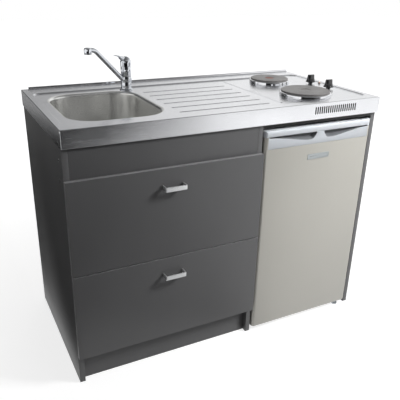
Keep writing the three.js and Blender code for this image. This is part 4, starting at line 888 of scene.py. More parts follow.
@dataclass
class Pattern:
    """Geometry Nodes tree that repeats one stamp in a row or round a circle."""

    name: str
    stamp: Stamp
    finish: Finish
    size: Point
    count: int
    start: Vector
    step: Point = (0.0, 0.0, 0.0)
    turn: Point = (0.0, 0.0, 0.0)
    ring_radius: float = 0.0

    def mesh(self) -> Mesh:
        """Evaluates the tree and returns the result as a plain mesh."""
        tree = self.tree()
        obj = linked(f"{self.name}_work", bpy.data.meshes.new(self.name))
        modifier = obj.modifiers.new("pattern", "NODES")
        modifier.node_group = tree
        values = {"Count": self.count, "Start": tuple(self.start), "Step": self.step,
                  "Size": self.size, "Turn": self.turn, "Ring Radius": self.ring_radius}
        for item in tree.interface.items_tree:
            if item.item_type == "SOCKET" and item.in_out == "INPUT":
                modifier[item.identifier] = values[item.name]
        mesh = baked(obj, 40.0)
        tidy(mesh)
        return mesh

    def tree(self) -> Tree:
        """Builds the tree: stations, stamp, instances, real geometry and material."""
        tree = bpy.data.node_groups.new(self.name, "GeometryNodeTree")
        for label, kind in (("Count", "Int"), ("Start", "Vector"), ("Step", "Vector"),
                            ("Size", "Vector"), ("Turn", "Vector"), ("Ring Radius", "Float")):
            tree.interface.new_socket(label, in_out="INPUT", socket_type=f"NodeSocket{kind}")
        tree.interface.new_socket("Geometry", in_out="OUTPUT", socket_type="NodeSocketGeometry")
        given = tree.nodes.new("NodeGroupInput").outputs
        place_on = self.ring if self.ring_radius else self.row
        points, rotation = place_on(tree, given)
        instances = grow(tree, "GeometryNodeInstanceOnPoints", {
            "Points": points, "Instance": self.stamped(tree, given), "Rotation": rotation})
        real = grow(tree, "GeometryNodeRealizeInstances", {0: instances.outputs[0]})
        dress = grow(tree, "GeometryNodeSetMaterial", {
            "Geometry": real.outputs[0], "Material": self.finish.material()})
        grow(tree, "NodeGroupOutput", {"Geometry": dress.outputs[0]})
        return tree

    @staticmethod
    def row(tree: Tree, given: bpy.types.NodeOutputs) -> tuple[Socket, Socket]:
        """Points and rotation of stations in a straight row, from the tree's inputs."""
        line = grow(tree, "GeometryNodeMeshLine", {
            "Count": given["Count"], "Start Location": given["Start"], "Offset": given["Step"],
        }, mode="OFFSET")
        return line.outputs["Mesh"], given["Turn"]

    @staticmethod
    def ring(tree: Tree, given: bpy.types.NodeOutputs) -> tuple[Socket, Socket]:
        """Points round a circle, turned to face away from its centre, from the tree's inputs."""
        line = grow(tree, "GeometryNodeMeshLine", {"Count": given["Count"]})
        index = grow(tree, "GeometryNodeInputIndex").outputs[0]
        angle = compute(tree, "MULTIPLY", compute(tree, "DIVIDE", index, given["Count"]), math.tau)
        spot = grow(tree, "ShaderNodeCombineXYZ", {
            axis: compute(tree, "MULTIPLY", compute(tree, function, angle), given["Ring Radius"])
            for axis, function in (("X", "COSINE"), ("Y", "SINE"))})
        centred = grow(tree, "ShaderNodeVectorMath", {0: spot.outputs[0], 1: given["Start"]})
        move = grow(tree, "GeometryNodeSetPosition", {
            "Geometry": line.outputs["Mesh"], "Position": centred.outputs[0]})
        spin = grow(tree, "ShaderNodeCombineXYZ", {"Z": angle})
        return move.outputs["Geometry"], spin.outputs[0]

    def stamped(self, tree: Tree, given: bpy.types.NodeOutputs) -> Socket:
        """Geometry of one stamp, sized by the tree's Size input."""
        if self.stamp is Stamp.TICK:
            return grow(tree, "GeometryNodeMeshCube", {"Size": given["Size"]}).outputs["Mesh"]
        if self.stamp is Stamp.SLOT:
            parts = grow(tree, "ShaderNodeSeparateXYZ", {0: given["Size"]})
            return self.slot(tree, parts.outputs)
        dome = grow(tree, "GeometryNodeMeshUVSphere", {"Segments": 20, "Rings": 10, "Radius": 1.0})
        return grow(tree, "GeometryNodeTransform", {
            "Geometry": dome.outputs["Mesh"], "Scale": given["Size"]}).outputs[0]

    @staticmethod
    def slot(tree: Tree, size: bpy.types.NodeOutputs) -> Socket:
        """Upright slot with round ends.

        Args:
            tree: Tree that is being built.
            size: The Size input's three numbers: width, depth and height.

        Returns:
            The geometry socket of a closed solid, centred on its station.
        """
        rectangle = grow(tree, "GeometryNodeCurvePrimitiveQuadrilateral", {
            "Width": size["X"], "Height": size["Z"]})
        fillet = grow(tree, "GeometryNodeFilletCurve", {
            "Curve": rectangle.outputs[0], "Count": 4,
            "Radius": compute(tree, "MULTIPLY", size["X"], 0.498)}, mode="POLY")
        face = grow(tree, "GeometryNodeFillCurve", {0: fillet.outputs[0]}, mode="NGONS")
        pull = grow(tree, "GeometryNodeExtrudeMesh", {
            "Mesh": face.outputs[0], "Offset Scale": size["Y"]})
        under = grow(tree, "GeometryNodeFlipFaces", {0: face.outputs[0]})
        both = grow(tree, "GeometryNodeJoinGeometry", {0: pull.outputs["Mesh"]})
        feed(tree, both, 0, under.outputs[0])
        weld = grow(tree, "GeometryNodeMergeByDistance", {
            "Geometry": both.outputs[0], "Distance": MERGE})
        return grow(tree, "GeometryNodeTransform", {
            "Geometry": weld.outputs[0], "Rotation": (math.pi / 2, 0.0, 0.0)}).outputs[0]


# ------------------------------------------------------------------ worktop


def stations(*spans: tuple[float, float, float]) -> list[float]:
    """Sorted grid lines from spans of (start, end, step), without near doubles."""
    values: set[float] = set()
    for start, end, step in spans:
        count = max(1, round((end - start) / step))
        values |= {round(start + (end - start) * i / count, 3) for i in range(count + 1)}
    lines: list[float] = []
    for value in sorted(values):
        if not lines or value - lines[-1] > 0.45:
            lines.append(value)
    return lines


def capsule(dx: float, dy: float, half_length: float, half_width: float) -> float:
    """Distance from a round-ended bar's middle line, along x."""
    return math.hypot(max(abs(dx) - (half_length - half_width), 0.0), dy)


def swell(distance: float, half_width: float, height: float) -> float:
    """Height of a pressed bead at a distance from its middle line."""
    if distance >= half_width:
        return 0.0
    return height * 0.5 * (1 + math.cos(math.pi * distance / half_width))


@dataclass
class Worktop:
    """Pressed steel worktop: folded rim, recessed field, ribs, ridge, lip and apron slots."""

    slot_first: float = 903.0
    slot_level: float = 883.5
    slot_pitch: float = 9.5
    slot_count: int = 20
    slot_size: Point = (0.0056, 0.006, 0.027)
    width: float = 1200.0
    depth: float = 600.0
    fold: float = 2.0
    sheet: float = 1.2
    apron_bottom: float = 852.0
    rear_bottom: float = 880.0
    field_centre: tuple[float, float] = (600.0, 276.0)
    field_half: tuple[float, float] = (578.0, 240.0)
    field_corner: float = 30.0
    slope: float = 5.0
    rib_rows: tuple[float, ...] = (80.0, 145.0, 210.0, 275.0, 340.0, 405.0)
    rib_centre: float = 584.0
    rib_half: tuple[float, float] = (176.0, 4.0)
    rib_height: float = 1.7
    ridge_centre: tuple[float, float] = (800.0, 276.0)
    ridge_half: tuple[float, float] = (214.0, 7.0)
    ridge_height: float = 2.2

    def build(self) -> None:
        """Makes the sheet, its hem, corner beads and lip, and the near-black sheet of painted shade
        behind the slots.
        """
        slots = Pattern("apron_slots", Stamp.SLOT, WORKTOP_STEEL, self.slot_size, self.slot_count,
                        place(self.slot_first, 4, self.slot_level),
                        (self.slot_pitch * MM, 0, 0)).mesh()
        bowl = Bowl()
        outline = [bowl.ring(-bowl.roll + 0.15, z) for z in (900.0, 915.0)]
        hole = new_mesh("bowl_opening", *skin_loops(outline))
        sheet = carved(self.sheet_mesh(), [hole, slots], 28.0)
        add_piece("worktop_skin", sheet, "kitchenette", "brushed_sheet", WORKTOP_STEEL,
                  replaces=("worktop_sheet",))
        for name, mesh in (("apron_hem", self.hem_mesh()), ("splash_lip", self.lip_mesh()),
                           ("apron_corner_beads", self.bead_mesh())):
            add_piece(name, mesh, "kitchenette", "brushed_sheet", POLISHED)
        # A near-black sheet of painted shade goes behind the slots.
        add_piece("slot_shade_sheet", self.shade_sheet_mesh(), "kitchenette", "black_steel", SLOT_SHADE)

    def hem_mesh(self) -> Mesh:
        """Hem along the apron's lower edge: a rolled bead at the front, a flat return behind it."""
        bottom = self.apron_bottom
        outline = [(8.0, bottom), (2.4, bottom - 0.1),
                   *arc(1.3, bottom + 1.3, 1.5, 1.5, range(270, 19, -25)),
                   (3.0, bottom + 1.2), (8.0, bottom + 1.2)]
        ends = ((0.7, True), (1.6, False), (self.width - 1.6, False), (self.width - 0.7, True))
        loops = [[place(x, max(y, 0.0) if inner else y, z) for y, z in outline]
                 for x, inner in ends]
        return shaded("hem", skin_loops(loops))

    def bead_mesh(self) -> Mesh:
        """Ground weld bead down both front corners of the apron, tapering at its ends."""
        inset = 1.25
        profile = [(0, 0), (0.9, 0.1), (1.5, 1.2), (1.5, 52.6), (1.1, 54.4), (0.5, 55.2), (0, 55.3)]
        ends = [turned(profile, x, inset, self.apron_bottom + 1, 20)
                for x in (inset, self.width - inset)]
        return shaded("beads", combined(*ends))

    def shade_sheet_mesh(self) -> Mesh:
        """Near-black sheet of painted shade behind the slots, a folded strip clipped to the apron's
        inner face.
        """
        margin = 9
        left = self.slot_first - margin
        right = self.slot_first + (self.slot_count - 1) * self.slot_pitch + margin
        outline = [(1.3, 866.0), (1.3, 901.0), (5.0, 902.0), (5.0, 901.2), (2.2, 900.3),
                   (2.2, 866.7), (5.0, 865.8), (5.0, 865.0)]
        loops = [[place(x, y, z) for y, z in outline] for x in (left, right)]
        return bevelled(new_mesh("screen", *skin_loops(loops)), 0.25)

    def height(self, x: float, y: float) -> float:
        """Height of the sheet's upper face at a point."""
        qx = abs(x - self.field_centre[0]) - (self.field_half[0] - self.field_corner)
        qy = abs(y - self.field_centre[1]) - (self.field_half[1] - self.field_corner)
        outside = math.hypot(max(qx, 0), max(qy, 0)) + min(max(qx, qy), 0) - self.field_corner
        share = min(max(-outside / self.slope, 0), 1)
        level = WORKTOP - (WORKTOP - FIELD) * share * share * (3 - 2 * share)
        for row in self.rib_rows:
            level += swell(capsule(x - self.rib_centre, y - row, *self.rib_half),
                           self.rib_half[1], self.rib_height)
        ridge = capsule(y - self.ridge_centre[1], x - self.ridge_centre[0], *self.ridge_half)
        return level + swell(ridge, self.ridge_half[1], self.ridge_height)

    def grid_lines(self) -> tuple[list[float], list[float]]:
        """Grid lines across and along, close together where the sheet bends."""
        left, right = self.rib_centre - self.rib_half[0], self.rib_centre + self.rib_half[0]
        ridge, reach = self.ridge_centre[0], self.ridge_half[1]
        rim = self.width - self.fold
        across = stations(*self.bends(0, self.width), (rim - self.sheet, rim, self.sheet),
                          (left, left + 5, 0.8), (right - 5, right, 0.8),
                          (ridge - reach, ridge + reach, 1))
        rows = [(row - 4.5, row + 4.5, 0.75) for row in self.rib_rows]
        return across, stations(*self.bends(1, self.depth), *rows)

    def bends(self, axis: int, size: float) -> list[tuple[float, float, float]]:
        """Spans of grid lines along one axis: rim, plain sheet and the field's two edges."""
        start, end = self.fold, size - self.fold
        low = self.field_centre[axis] - self.field_half[axis]
        high = self.field_centre[axis] + self.field_half[axis]
        return [(start, start + self.sheet, self.sheet), (start, end, 24),
                (low - 1, low + 7, 1), (low + 7, low + 34, 2.25),
                (high - 7, high + 1, 1), (high - 34, high - 7, 2.25)]

    def sheet_mesh(self) -> Mesh:
        """Closed sheet: upper face, folded rim, aprons and a level underside."""
        across, along = self.grid_lines()
        columns, lines = len(across), len(along)
        points = [place(x, y, self.height(x, y)) for y in along for x in across]
        corners = (0, 1, columns + 1, columns)
        faces = [[j * columns + i + corner for corner in corners]
                 for j in range(lines - 1) for i in range(columns - 1)]
        edge = [(i, 0) for i in range(columns)]
        edge += [(columns - 1, j) for j in range(1, lines)]
        edge += [(i, lines - 1) for i in range(columns - 2, -1, -1)]
        edge += [(0, j) for j in range(lines - 2, 0, -1)]
        ring = [j * columns + i for i, j in edge]
        count = len(ring)
        for inset, level in self.edge_levels():
            start = len(points)
            for i, j in edge:
                x = self.moved(i, columns, across, inset, self.width)
                y = self.moved(j, lines, along, inset, self.depth)
                rear = j == lines - 1 and 0 < i < columns - 1
                lower = self.rear_bottom if rear else self.apron_bottom
                points.append(place(x, y, lower if level is None else level))
            faces += [[ring[k], start + k, start + (k + 1) % count, ring[(k + 1) % count]]
                      for k in range(count)]
            ring = [start + k for k in range(count)]
        faces.append(ring)
        return new_mesh("worktop_solid", points, faces)

    def edge_levels(self) -> list[tuple[float, float | None]]:
        """Inset and height of each ring round the edge; None stands for the apron's lower edge."""
        steps = 6
        bends = [step / steps * math.pi / 2 for step in range(1, steps + 1)]
        levels: list[tuple[float, float | None]] = [
            (self.fold * (1 - math.sin(turn)), WORKTOP - self.fold * (1 - math.cos(turn)))
            for turn in bends]
        return levels + [(0.0, None), (self.sheet, None), (self.sheet, FIELD - self.sheet)]

    @staticmethod
    def moved(index: int, count: int, lines: list[float], inset: float, size: float) -> float:
        """Place of an edge point: its own grid line, or the inset from the end that it lies on."""
        if index == 0:
            return inset
        if index == count - 1:
            return size - inset
        return lines[index]

    def lip_mesh(self) -> Mesh:
        """Splash lip along the rear: upright fold with a round top and a fillet at its foot."""
        back, foot, top, half, steps = self.depth, 908.0, 915, 3, 8
        bends = [step / steps * math.pi for step in range(steps + 1)]
        outline = [(590.5, 909.3), (593.0, 910.6), (594.0, 913.0)]
        outline += [(597 - half * math.cos(turn), top + half * math.sin(turn)) for turn in bends]
        outline += [(back, foot), (592, foot)]
        stops = ((26.0, 0.72), (26.8, 0.93), (28.5, 1.0),
                 (1195.5, 1.0), (1197.2, 0.93), (1198.0, 0.72))
        loops = [[place(x, back - (back - y) * (0.5 + scale / 2), foot + (z - foot) * scale)
                  for y, z in outline] for x, scale in stops]
        return shaded("lip", skin_loops(loops))


@dataclass
class Bowl:
    """Drawn sink bowl with its rolled mouth, dished seat, waste, plug and overflow."""

    x: float = 217.5
    y: float = 275.0
    width: float = 316.0
    depth: float = 388.0
    corner: float = 90.0
    roll: float = 10.0
    draft: float = 6.0
    foot: float = 45.0
    top: float = 896.0
    bottom: float = 756.0
    sheet: float = 1.2
    seat_radius: float = 36.0
    seat_depth: float = 2.5

    def build(self) -> None:
        """Makes the bowl and dresses the fittings in and under it."""
        mesh = shaded("bowl", skin_loops(self.levels(), False))
        add_piece("sink_bowl_skin", mesh, "kitchenette", "brushed_sheet", BOWL_STEEL,
                  replaces=("sink_bowl",))
        self.waste()
        pipe = refined("overflow_pipe", 0.5)
        rosette = place(59.5, 0, 850)
        numbers = [int(polygon.center.x > rosette.x and polygon.center.z > rosette.z)
                   for polygon in pipe.polygons]
        add_piece("overflow_fitting", pipe, "kitchenette", "grey_plastic", GREY_PLASTIC, POLISHED,
                  replaces=("overflow_pipe",), numbers=numbers)
        for node in ("waste_body", "bottle_trap"):
            dress_node(node, f"{node}_shell", "kitchenette", "white_plastic", WHITE_PLASTIC, 0.8)

    def ring(self, inset: float, z: float) -> Loop:
        """Level loop of the bowl at an inset from its mouth."""
        return rounded_loop(self.x, self.y, self.width - 2 * inset, self.depth - 2 * inset,
                            self.corner - inset, z)

    def disc(self, radius: float, z: float) -> Loop:
        """Round loop about the waste, with points in the directions of the bowl's own loop."""
        centre = place(self.x, self.y, z)
        loop = []
        for point in self.ring(self.draft + self.foot, z):
            away = (point - centre).normalized()
            loop.append(centre + away * radius * MM)
        return loop

    def levels(self) -> list[Loop]:
        """Loops of the inner face from the mouth to the waste, then back along the outer face."""
        inner = self.face(0.0)
        outer = self.face(self.sheet)
        return inner + outer[::-1] + [inner[0]]

    def face(self, offset: float) -> list[Loop]:
        """Loops of one face, moved outwards by an offset."""
        loops = []
        roll_steps, foot_steps = 8, 10
        for step in range(roll_steps + 1):
            turn = (1 - step / roll_steps) * math.pi / 2
            loops.append(self.ring((self.roll - offset) * math.cos(turn) - self.roll,
                                   self.top + (self.roll - offset) * math.sin(turn)))
        for share in (0.33, 0.66):
            loops.append(self.ring(self.draft * share - offset,
                                   self.top - share * (self.top - self.bottom - self.foot)))
        for step in range(foot_steps + 1):
            turn = step / foot_steps * math.pi / 2
            loops.append(self.ring(self.draft + self.foot - (self.foot + offset) * math.cos(turn),
                                   self.bottom + self.foot - (self.foot + offset) * math.sin(turn)))
        flat = loops[-1]
        dish = self.disc(self.seat_radius + 2 + offset, self.bottom - 0.4 - offset)
        for step in (0.25, 0.5, 0.75, 0.95):
            loops.append([a.lerp(b, step) for a, b in zip(flat, dish)])
        seat = self.bottom - self.seat_depth - offset
        for radius, z in ((2.0, self.bottom - 0.4 - offset), (0.9, self.bottom - 0.8 - offset),
                          (0.2, seat + 0.6), (-0.8, seat), (-10.0, seat)):
            loops.append(self.disc(self.seat_radius + radius + offset * (radius > 0), z))
        return loops

    def waste(self) -> None:
        """Makes the waste flange with its strainer cross and the plug with its pull knob."""
        x, y, seat = self.x, self.y, self.bottom - self.seat_depth
        ring = rounded_profile([(22, -22.2), (25, -22.2), (25, 0), (34.4, 0), (35, 0.4),
                                (34.6, 1.0), (32, 2.2), (26, 1.6), (22, -2.4), (22, -22.2)], 1.0, 4)
        add_piece("waste_ring", lathe(ring[:-1], x, y, seat, 72), "kitchenette", "polished_sheet",
                  POLISHED, replaces=("waste_flange",))
        outline = rounded_profile([(0, -2.4), (21, -2.4), (25, 1.8), (24, 3), (14, 2.3), (5, 2.4),
                                   (3, 4.2), (2.8, 7), (6, 8.6), (6.2, 11), (4, 12.3), (0, 12.5)],
                                  0.9, 4)
        fins = [block(x - dx, x + dx, y - dy, y + dy, seat - 13, seat - 2)
                for dx, dy in ((19, 1), (1, 19))]
        cap = shaded("plug", combined(turned(outline, x, y, seat, 64), *fins), 32.0)
        add_piece("plug_cap", cap, "plug", "polished_sheet", POLISHED, replaces=("sink_plug",))


# ------------------------------------------------------------------ hob


@dataclass(frozen=True)
class Plate:
    """One sealed hotplate with its spill ring; spot is the colour of its marked centre."""

    side: str
    x: float
    y: float
    radius: float
    spot: Colour | None = None

    def finish(self) -> SpunIron:
        """Iron whose turned rings run round the plate's own centre."""
        return SpunIron(f"iron_{self.side}", srgb(134, 132, 131), 0.42,
                        centre=tuple(place(self.x, self.y, 0)), spot=self.spot)

    def build(self) -> None:
        """Makes the plate and its spill ring."""
        side, seat, r = self.side, (self.x, self.y, FIELD, 96), self.radius
        profile = rounded_profile([(0, -10), (r - 8, -10), (r - 8, 14), (r, 14), (r, 18.6),
                                   (r - 1.6, 20), (r - 6, 20), (r - 7, 19.7), (r - 8, 20), (22, 20),
                                   (19.5, 18.6), (0, 18.4)], 0.8, 3)
        add_piece(f"plate_{side}", lathe(profile, *seat), "kitchenette", "cast_iron",
                  self.finish(), replaces=(f"hotplate_{side}",))
        outline = rounded_profile([(r - 5, 13), (r - 5, 14), (r + 1.4, 14.1), (r + 4.2, 12.0),
                                   (r + 4.9, 5), (r + 5.5, 0.2), (r + 4.3, 0.2), (r + 3.2, 10.4),
                                   (r + 1, 13), (r - 5, 13)], 1.2, 4)
        add_piece(f"spill_ring_{side}_skin", lathe(outline[:-1], *seat, 60.0), "kitchenette",
                  "polished_sheet", POLISHED, replaces=(f"spill_ring_{side}",))


@dataclass
class Hob:
    """Two hotplates, two knobs with their regulators, the lamp and the pan underneath."""

    plates: tuple[Plate, ...] = (Plate("front", 963, 146, 92.5),
                                 Plate("rear", 975, 407, 77.5, srgb(140, 78, 62)))
    knob_x: float = 1125.0
    knob_rows: tuple[tuple[str, float], ...] = (("front", 207.0), ("rear", 322.0))
    knob_radius: float = 20.0
    lamp_place: tuple[float, float] = (1164.0, 312.0)

    def build(self) -> None:
        """Makes the plates, knobs, regulators, pan and lamp."""
        for plate in self.plates:
            plate.build()
        for side, y in self.knob_rows:
            self.knob(side, y)
            dress_node(f"hob_switch_{side}", f"regulator_{side}", "kitchenette", "grey_plastic",
                       GREY_PLASTIC, 0.4)
        dress_node("hob_tray", "heat_pan", "kitchenette", "zinc_steel", ZINC, 0.5)
        self.lamp()

    def knob(self, side: str, y: float) -> None:
        """Makes one knob: neck, skirt with dial marks and a hollow-sided bar grip."""
        x, r = self.knob_x, self.knob_radius
        profile = rounded_profile([(0, 1), (9, 1), (9, 8), (r, 8), (r, 11), (r - 1.2, 12.2),
                                   (0, 12.4)], 0.6, 3)
        rows = [(1.0, 1.0, 12.0), (0.98, 0.86, 12.9), (0.95, 0.68, 15.2), (0.91, 0.5, 19.5),
                (0.87, 0.41, 25.0), (0.84, 0.37, 31.0), (0.81, 0.34, 36.0), (0.79, 0.31, 37.5),
                (0.75, 0.27, 38.0)]
        loops = [[place(x + across * r * 0.96 * self.squared(math.cos(turn), deep),
                        y + deep * r * 0.96 * self.squared(math.sin(turn), deep), FIELD + level)
                  for turn in turns(64)] for across, deep, level in rows]
        spindle = turned([(0, -16), (3, -16), (3, 9), (0, 9)], x, y, FIELD, 24)
        shape = combined(turned(profile, x, y, FIELD, 64), skin_loops(loops), spindle)
        mesh = shaded("knob", shape, 30.0)
        body = f"{side}_knob"
        add_piece(f"knob_{side}", mesh, body, "black_plastic", BLACK_PLASTIC,
                  replaces=(f"hob_knob_{side}",))
        marks = Pattern(f"dial_marks_{side}", Stamp.TICK, DIAL_PAINT, (0.0022, 0.0005, 0.0003), 7,
                        place(x, y, FIELD + 12.25), ring_radius=0.0182).mesh()
        add_piece(f"dial_marks_{side}_paint", marks, body, "white_plastic", DIAL_PAINT)

    @staticmethod
    def squared(value: float, deep: float) -> float:
        """Cosine or sine pushed towards a rounded bar as the section gets slimmer."""
        return signed_power(value, 1.0 - 0.45 * (1 - deep))

    def lamp(self) -> None:
        """Makes the lamp: domed lens in a thin bezel."""
        lens = rounded_profile([(0, -12), (4.6, -12), (4.6, 1.4), (4.8, 1.6), (4.8, 5.4),
                                (3.0, 7.4), (0, 8.0)], 0.9, 4)
        bezel = rounded_profile([(4.9, 0.1), (6.2, 0.1), (6.2, 1.2), (5.6, 1.9), (4.9, 1.9),
                                 (4.9, 0.1)], 0.3, 3)
        spot = (*self.lamp_place, FIELD, 40, 50.0)
        add_piece("lamp_lens", lathe(lens, *spot), "kitchenette", "amber_lens", LENS,
                  replaces=("indicator_lamp",))
        add_piece("lamp_bezel", lathe(bezel[:-1], *spot), "kitchenette", "chrome_plate", CHROME)


# ------------------------------------------------------------------ tap


@dataclass
class Tap:
    """Single-lever mixer with a swivel spout."""

    x: float = 370.0
    y: float = 480.0
    heading: float = math.radians(200)
    slope: float = 43.7
    bend_radius: float = 40.0
    root_height: float = 42.0
    outlet_height: float = 159.0
    outlet_reach: float = 168.0

    def build(self) -> None:
        """Makes the body, spout, outlet, lever and the parts below the worktop."""
        dome = arc(0, 100, 17.6, 17.6, range(-40, 61, 10))
        body = [(0, -60), (16, -60), (16, 0), (25, 0), (25, 2), (23, 4.5), (20.5, 6), (19.5, 9),
                (19.5, 30), (14, 30), (14, 52), (19.5, 52), (19.5, 88), *dome, (0, dome[-1][1])]
        mesh = lathe(rounded_profile(body, 0.7, 2), self.x, self.y, FIELD, 72)
        add_piece("tap_base", mesh, "kitchenette", "chrome_plate", CHROME, replaces=("tap_body",))
        dress_node("tap_nut", "tap_locknut", "kitchenette", "zinc_steel", ZINC, 0.5)
        self.spout()
        dress_node("tap_spindle", "valve_spindle", "lever_spindle", "white_plastic", WHITE_PLASTIC,
                   0.3)
        self.lever()

    def at(self, along: float, height: float, side: float = 0.0) -> Vector:
        """Point of the turned head, from the tap's axis and the worktop field."""
        cos, sin = math.cos(self.heading), math.sin(self.heading)
        return place(self.x + along * cos - side * sin, self.y + along * sin + side * cos,
                     FIELD + height)

    def spout(self) -> None:
        """Makes the swivel collar, the rising tube, the outlet head and its aerator."""
        collar = rounded_profile([(14.3, 30.3), (20.6, 30.3), (21.7, 41), (20.6, 51.7),
                                  (14.3, 51.7), (14.3, 30.3)], 1.2, 4)
        root, crown, bend = self.root_height, self.outlet_height, self.bend_radius
        slope, steps = math.radians(self.slope), 14
        start = 18 + (crown - bend * (1 - math.cos(slope)) - root) / math.tan(slope)
        centre = start + bend * math.sin(slope)
        path = [self.at(17, root - math.tan(slope)), self.at(30, root + 12 * math.tan(slope))]
        path += [self.at(centre - bend * math.sin(slope * (1 - i / steps)),
                         crown - bend + bend * math.cos(slope * (1 - i / steps)))
                 for i in range(steps + 1)]
        path.append(self.at(self.outlet_reach - 2, crown))
        side = Vector((math.cos(self.heading), math.sin(self.heading), 0)).cross(Vector((0, 0, 1)))
        bore = [(8.5 * math.cos(turn), 8.5 * math.sin(turn)) for turn in turns(36)]
        tube = swept(path, lambda share: bore, side.cross(path[-1] - path[-2]))
        outlet = self.at(self.outlet_reach, crown)
        ox, oy = outlet.x / MM + ORIGIN_X, outlet.y / MM + ORIGIN_Y
        head = rounded_profile([(0, -8.8), (12.9, -8.8), (13.5, -8.2), (13.5, 4.5), (12.2, 7.8),
                                (8, 9.3), (0, 9.6)], 2.0, 5)
        shape = combined(turned(collar[:-1], self.x, self.y, FIELD, 64), tube,
                         turned(head, ox, oy, FIELD + crown, 64))
        mesh = shaded("spout", shape, 38.0)
        add_piece("spout_tube", mesh, "spout", "chrome_plate", CHROME, replaces=("tap_spout",))
        insert = rounded_profile([(0, -2), (8, -2), (8, -5.2), (12.3, -5.2), (13.1, -4.4),
                                  (13.1, 0), (0, 0)], 0.4, 3)
        nozzle = lathe(insert, ox, oy, FIELD + crown - 8.8, 48)
        add_piece("outlet_insert", nozzle, "spout", "zinc_steel", ZINC, replaces=("tap_aerator",))

    def lever(self) -> None:
        """Makes the lever: domed cap hollowed for the valve and a blade that sweeps to its tip."""
        rim = 88.6
        dome = [(0, rim), (20.3, rim), (20.3, 103), *arc(0, 104, 20.3, 21, range(0, 90, 9)),
                (0, 125)]
        hollow = [(0, 87), (18.1, 87), (18.1, 100), *arc(0, 100, 18.1, 18.1, range(10, 90, 10)),
                  (0, 118.1)]
        cap, room = (new_mesh("cap", *turned(profile, self.x, self.y, FIELD, 72))
                     for profile in (dome, hollow))
        corners = [(-1.0, rim), (-41.0, rim), (-41.0, rim + 40 * math.tan(math.radians(20)))]
        loops = [[self.at(u, z, side) for u, z in corners] for side in (-40.0, 40.0)]
        relief = new_mesh("relief", *skin_loops(loops))
        shell = carved(cap, [room, relief], 32.0)
        stem = lathe([(0, 96), (2.6, 97.2), (3.8, 100), (3, 103), (3, 119), (0, 119)],
                     self.x, self.y, FIELD, 32, 45.0)
        add_piece("lever_handle", merged("lever_handle", shell, self.blade(), stem), "lever",
                  "chrome_plate", CHROME, replaces=("tap_lever",))

    def blade(self) -> Mesh:
        """Blade of the lever, thick over the cap and flat at its tip."""
        controls = [(3, 115.5), (9, 116), (16, 117.4), (24, 121.4), (32, 126.2), (43, 130.0),
                    (54.3, 131.6)]
        sizes = [(15.0, 13.0), (16.4, 16.5), (17.0, 17.5), (17.0, 13.6), (16.6, 8.0), (15.6, 4.4),
                 (12.0, 3.0)]
        path = [self.at(u, z) for u, z in smooth_line(controls, 5)]
        widths = smooth_line(sizes, 5)

        def section(share: float) -> Outline:
            """Outline of the blade at a share of its length."""
            width, height = widths[min(len(widths) - 1, round(share * (len(widths) - 1)))]
            fade = 1.0 if share < 0.96 else 0.82
            return [(fade * width / 2 * signed_power(math.cos(turn), 0.6),
                     fade * height / 2 * signed_power(math.sin(turn), 0.75))
                    for turn in turns(32)]
        return shaded("blade", swept(path, section, Vector((0, 0, 1))), 45.0)


# ------------------------------------------------------------------ carcass and pull-outs


@dataclass
class Carcass:
    """Melamine boards, plinth, hardboard back and the cover caps on the left side."""

    boards: tuple[str, ...] = ("side_panel_left", "side_panel_right", "partition_panel",
                               "cabinet_floor", "plinth_board", "fascia_panel", "rear_rail",
                               "niche_rail")
    pin_inset: float = 12.0
    pin_gaps: tuple[int, int] = (7, 4)

    def build(self) -> None:
        """Makes the boards with eased edges, their narrow faces painted paler as a highlight, and
        the small fittings on them.
        """
        for node in self.boards:
            board = refined(node, 0.7, 3)
            # The niche rail takes the near-black board of painted shade throughout; the other
            # boards take their face colour and the paler painted highlight on their edges.
            face, edge = (RAIL_SHADE_BOARD, RAIL_SHADE_BOARD) if node == "niche_rail" else (BOARD, BOARD_EDGE_HIGHLIGHT)
            highlit_edges = [int(self.is_highlit_edge(node, polygon.normal)) for polygon in board.polygons]
            add_piece(f"{node}_faced", board, "kitchenette", "grey_board", face, edge,
                      replaces=(node,), numbers=highlit_edges)
        self.back_pins()
        dress_node("cabinet_back", "cabinet_back_sheet", "kitchenette", "raw_board", HARDBOARD,
                   0.3, 1)
        caps = Pattern("cover_caps", Stamp.CAP, BLACK_PLASTIC, (0.0065, 0.0065, 0.0016), 2,
                       place(2, 47, 807), (0.0, 0.009, -0.068), (0.0, -math.pi / 2, 0.0)).mesh()
        add_piece("cover_caps_left", caps, "kitchenette", "black_plastic", BLACK_PLASTIC)

    @staticmethod
    def is_highlit_edge(node: str, normal: Vector) -> bool:
        """Whether a face lies on a board's narrow edge, painted paler as a highlight; the shaded
        left panel has none.
        """
        if node == "side_panel_left":
            return False
        if "side" in node or "partition" in node:
            return abs(normal.x) < 0.5
        if "floor" in node:
            return abs(normal.z) < 0.5
        return abs(normal.y) < 0.5

    def back_pins(self) -> None:
        """Adds the rows of pins that hold the back sheet."""
        low, high = (Vector(corner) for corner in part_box("cabinet_back"))
        inset = self.pin_inset * MM
        columns, rows = self.pin_gaps
        left, right, bottom, top = low.x + inset, high.x - inset, low.z + inset, high.z - inset
        across = ((high.x - low.x - 2 * inset) / columns, 0.0, 0.0)
        up = (0.0, 0.0, (high.z - low.z - 2 * inset) / rows)
        for name, x, z, count, step in (("low", left, bottom, columns + 1, across),
                                        ("high", left, top, columns + 1, across),
                                        ("left", left, bottom + up[2], rows - 1, up),
                                        ("right", right, bottom + up[2], rows - 1, up)):
            pins = Pattern(f"back_pins_{name}", Stamp.CAP, ZINC, (0.0028, 0.0007, 0.0028), count,
                           Vector((x, high.y, z)), step).mesh()
            add_piece(f"back_pins_{name}", pins, "kitchenette", "zinc_steel", ZINC)


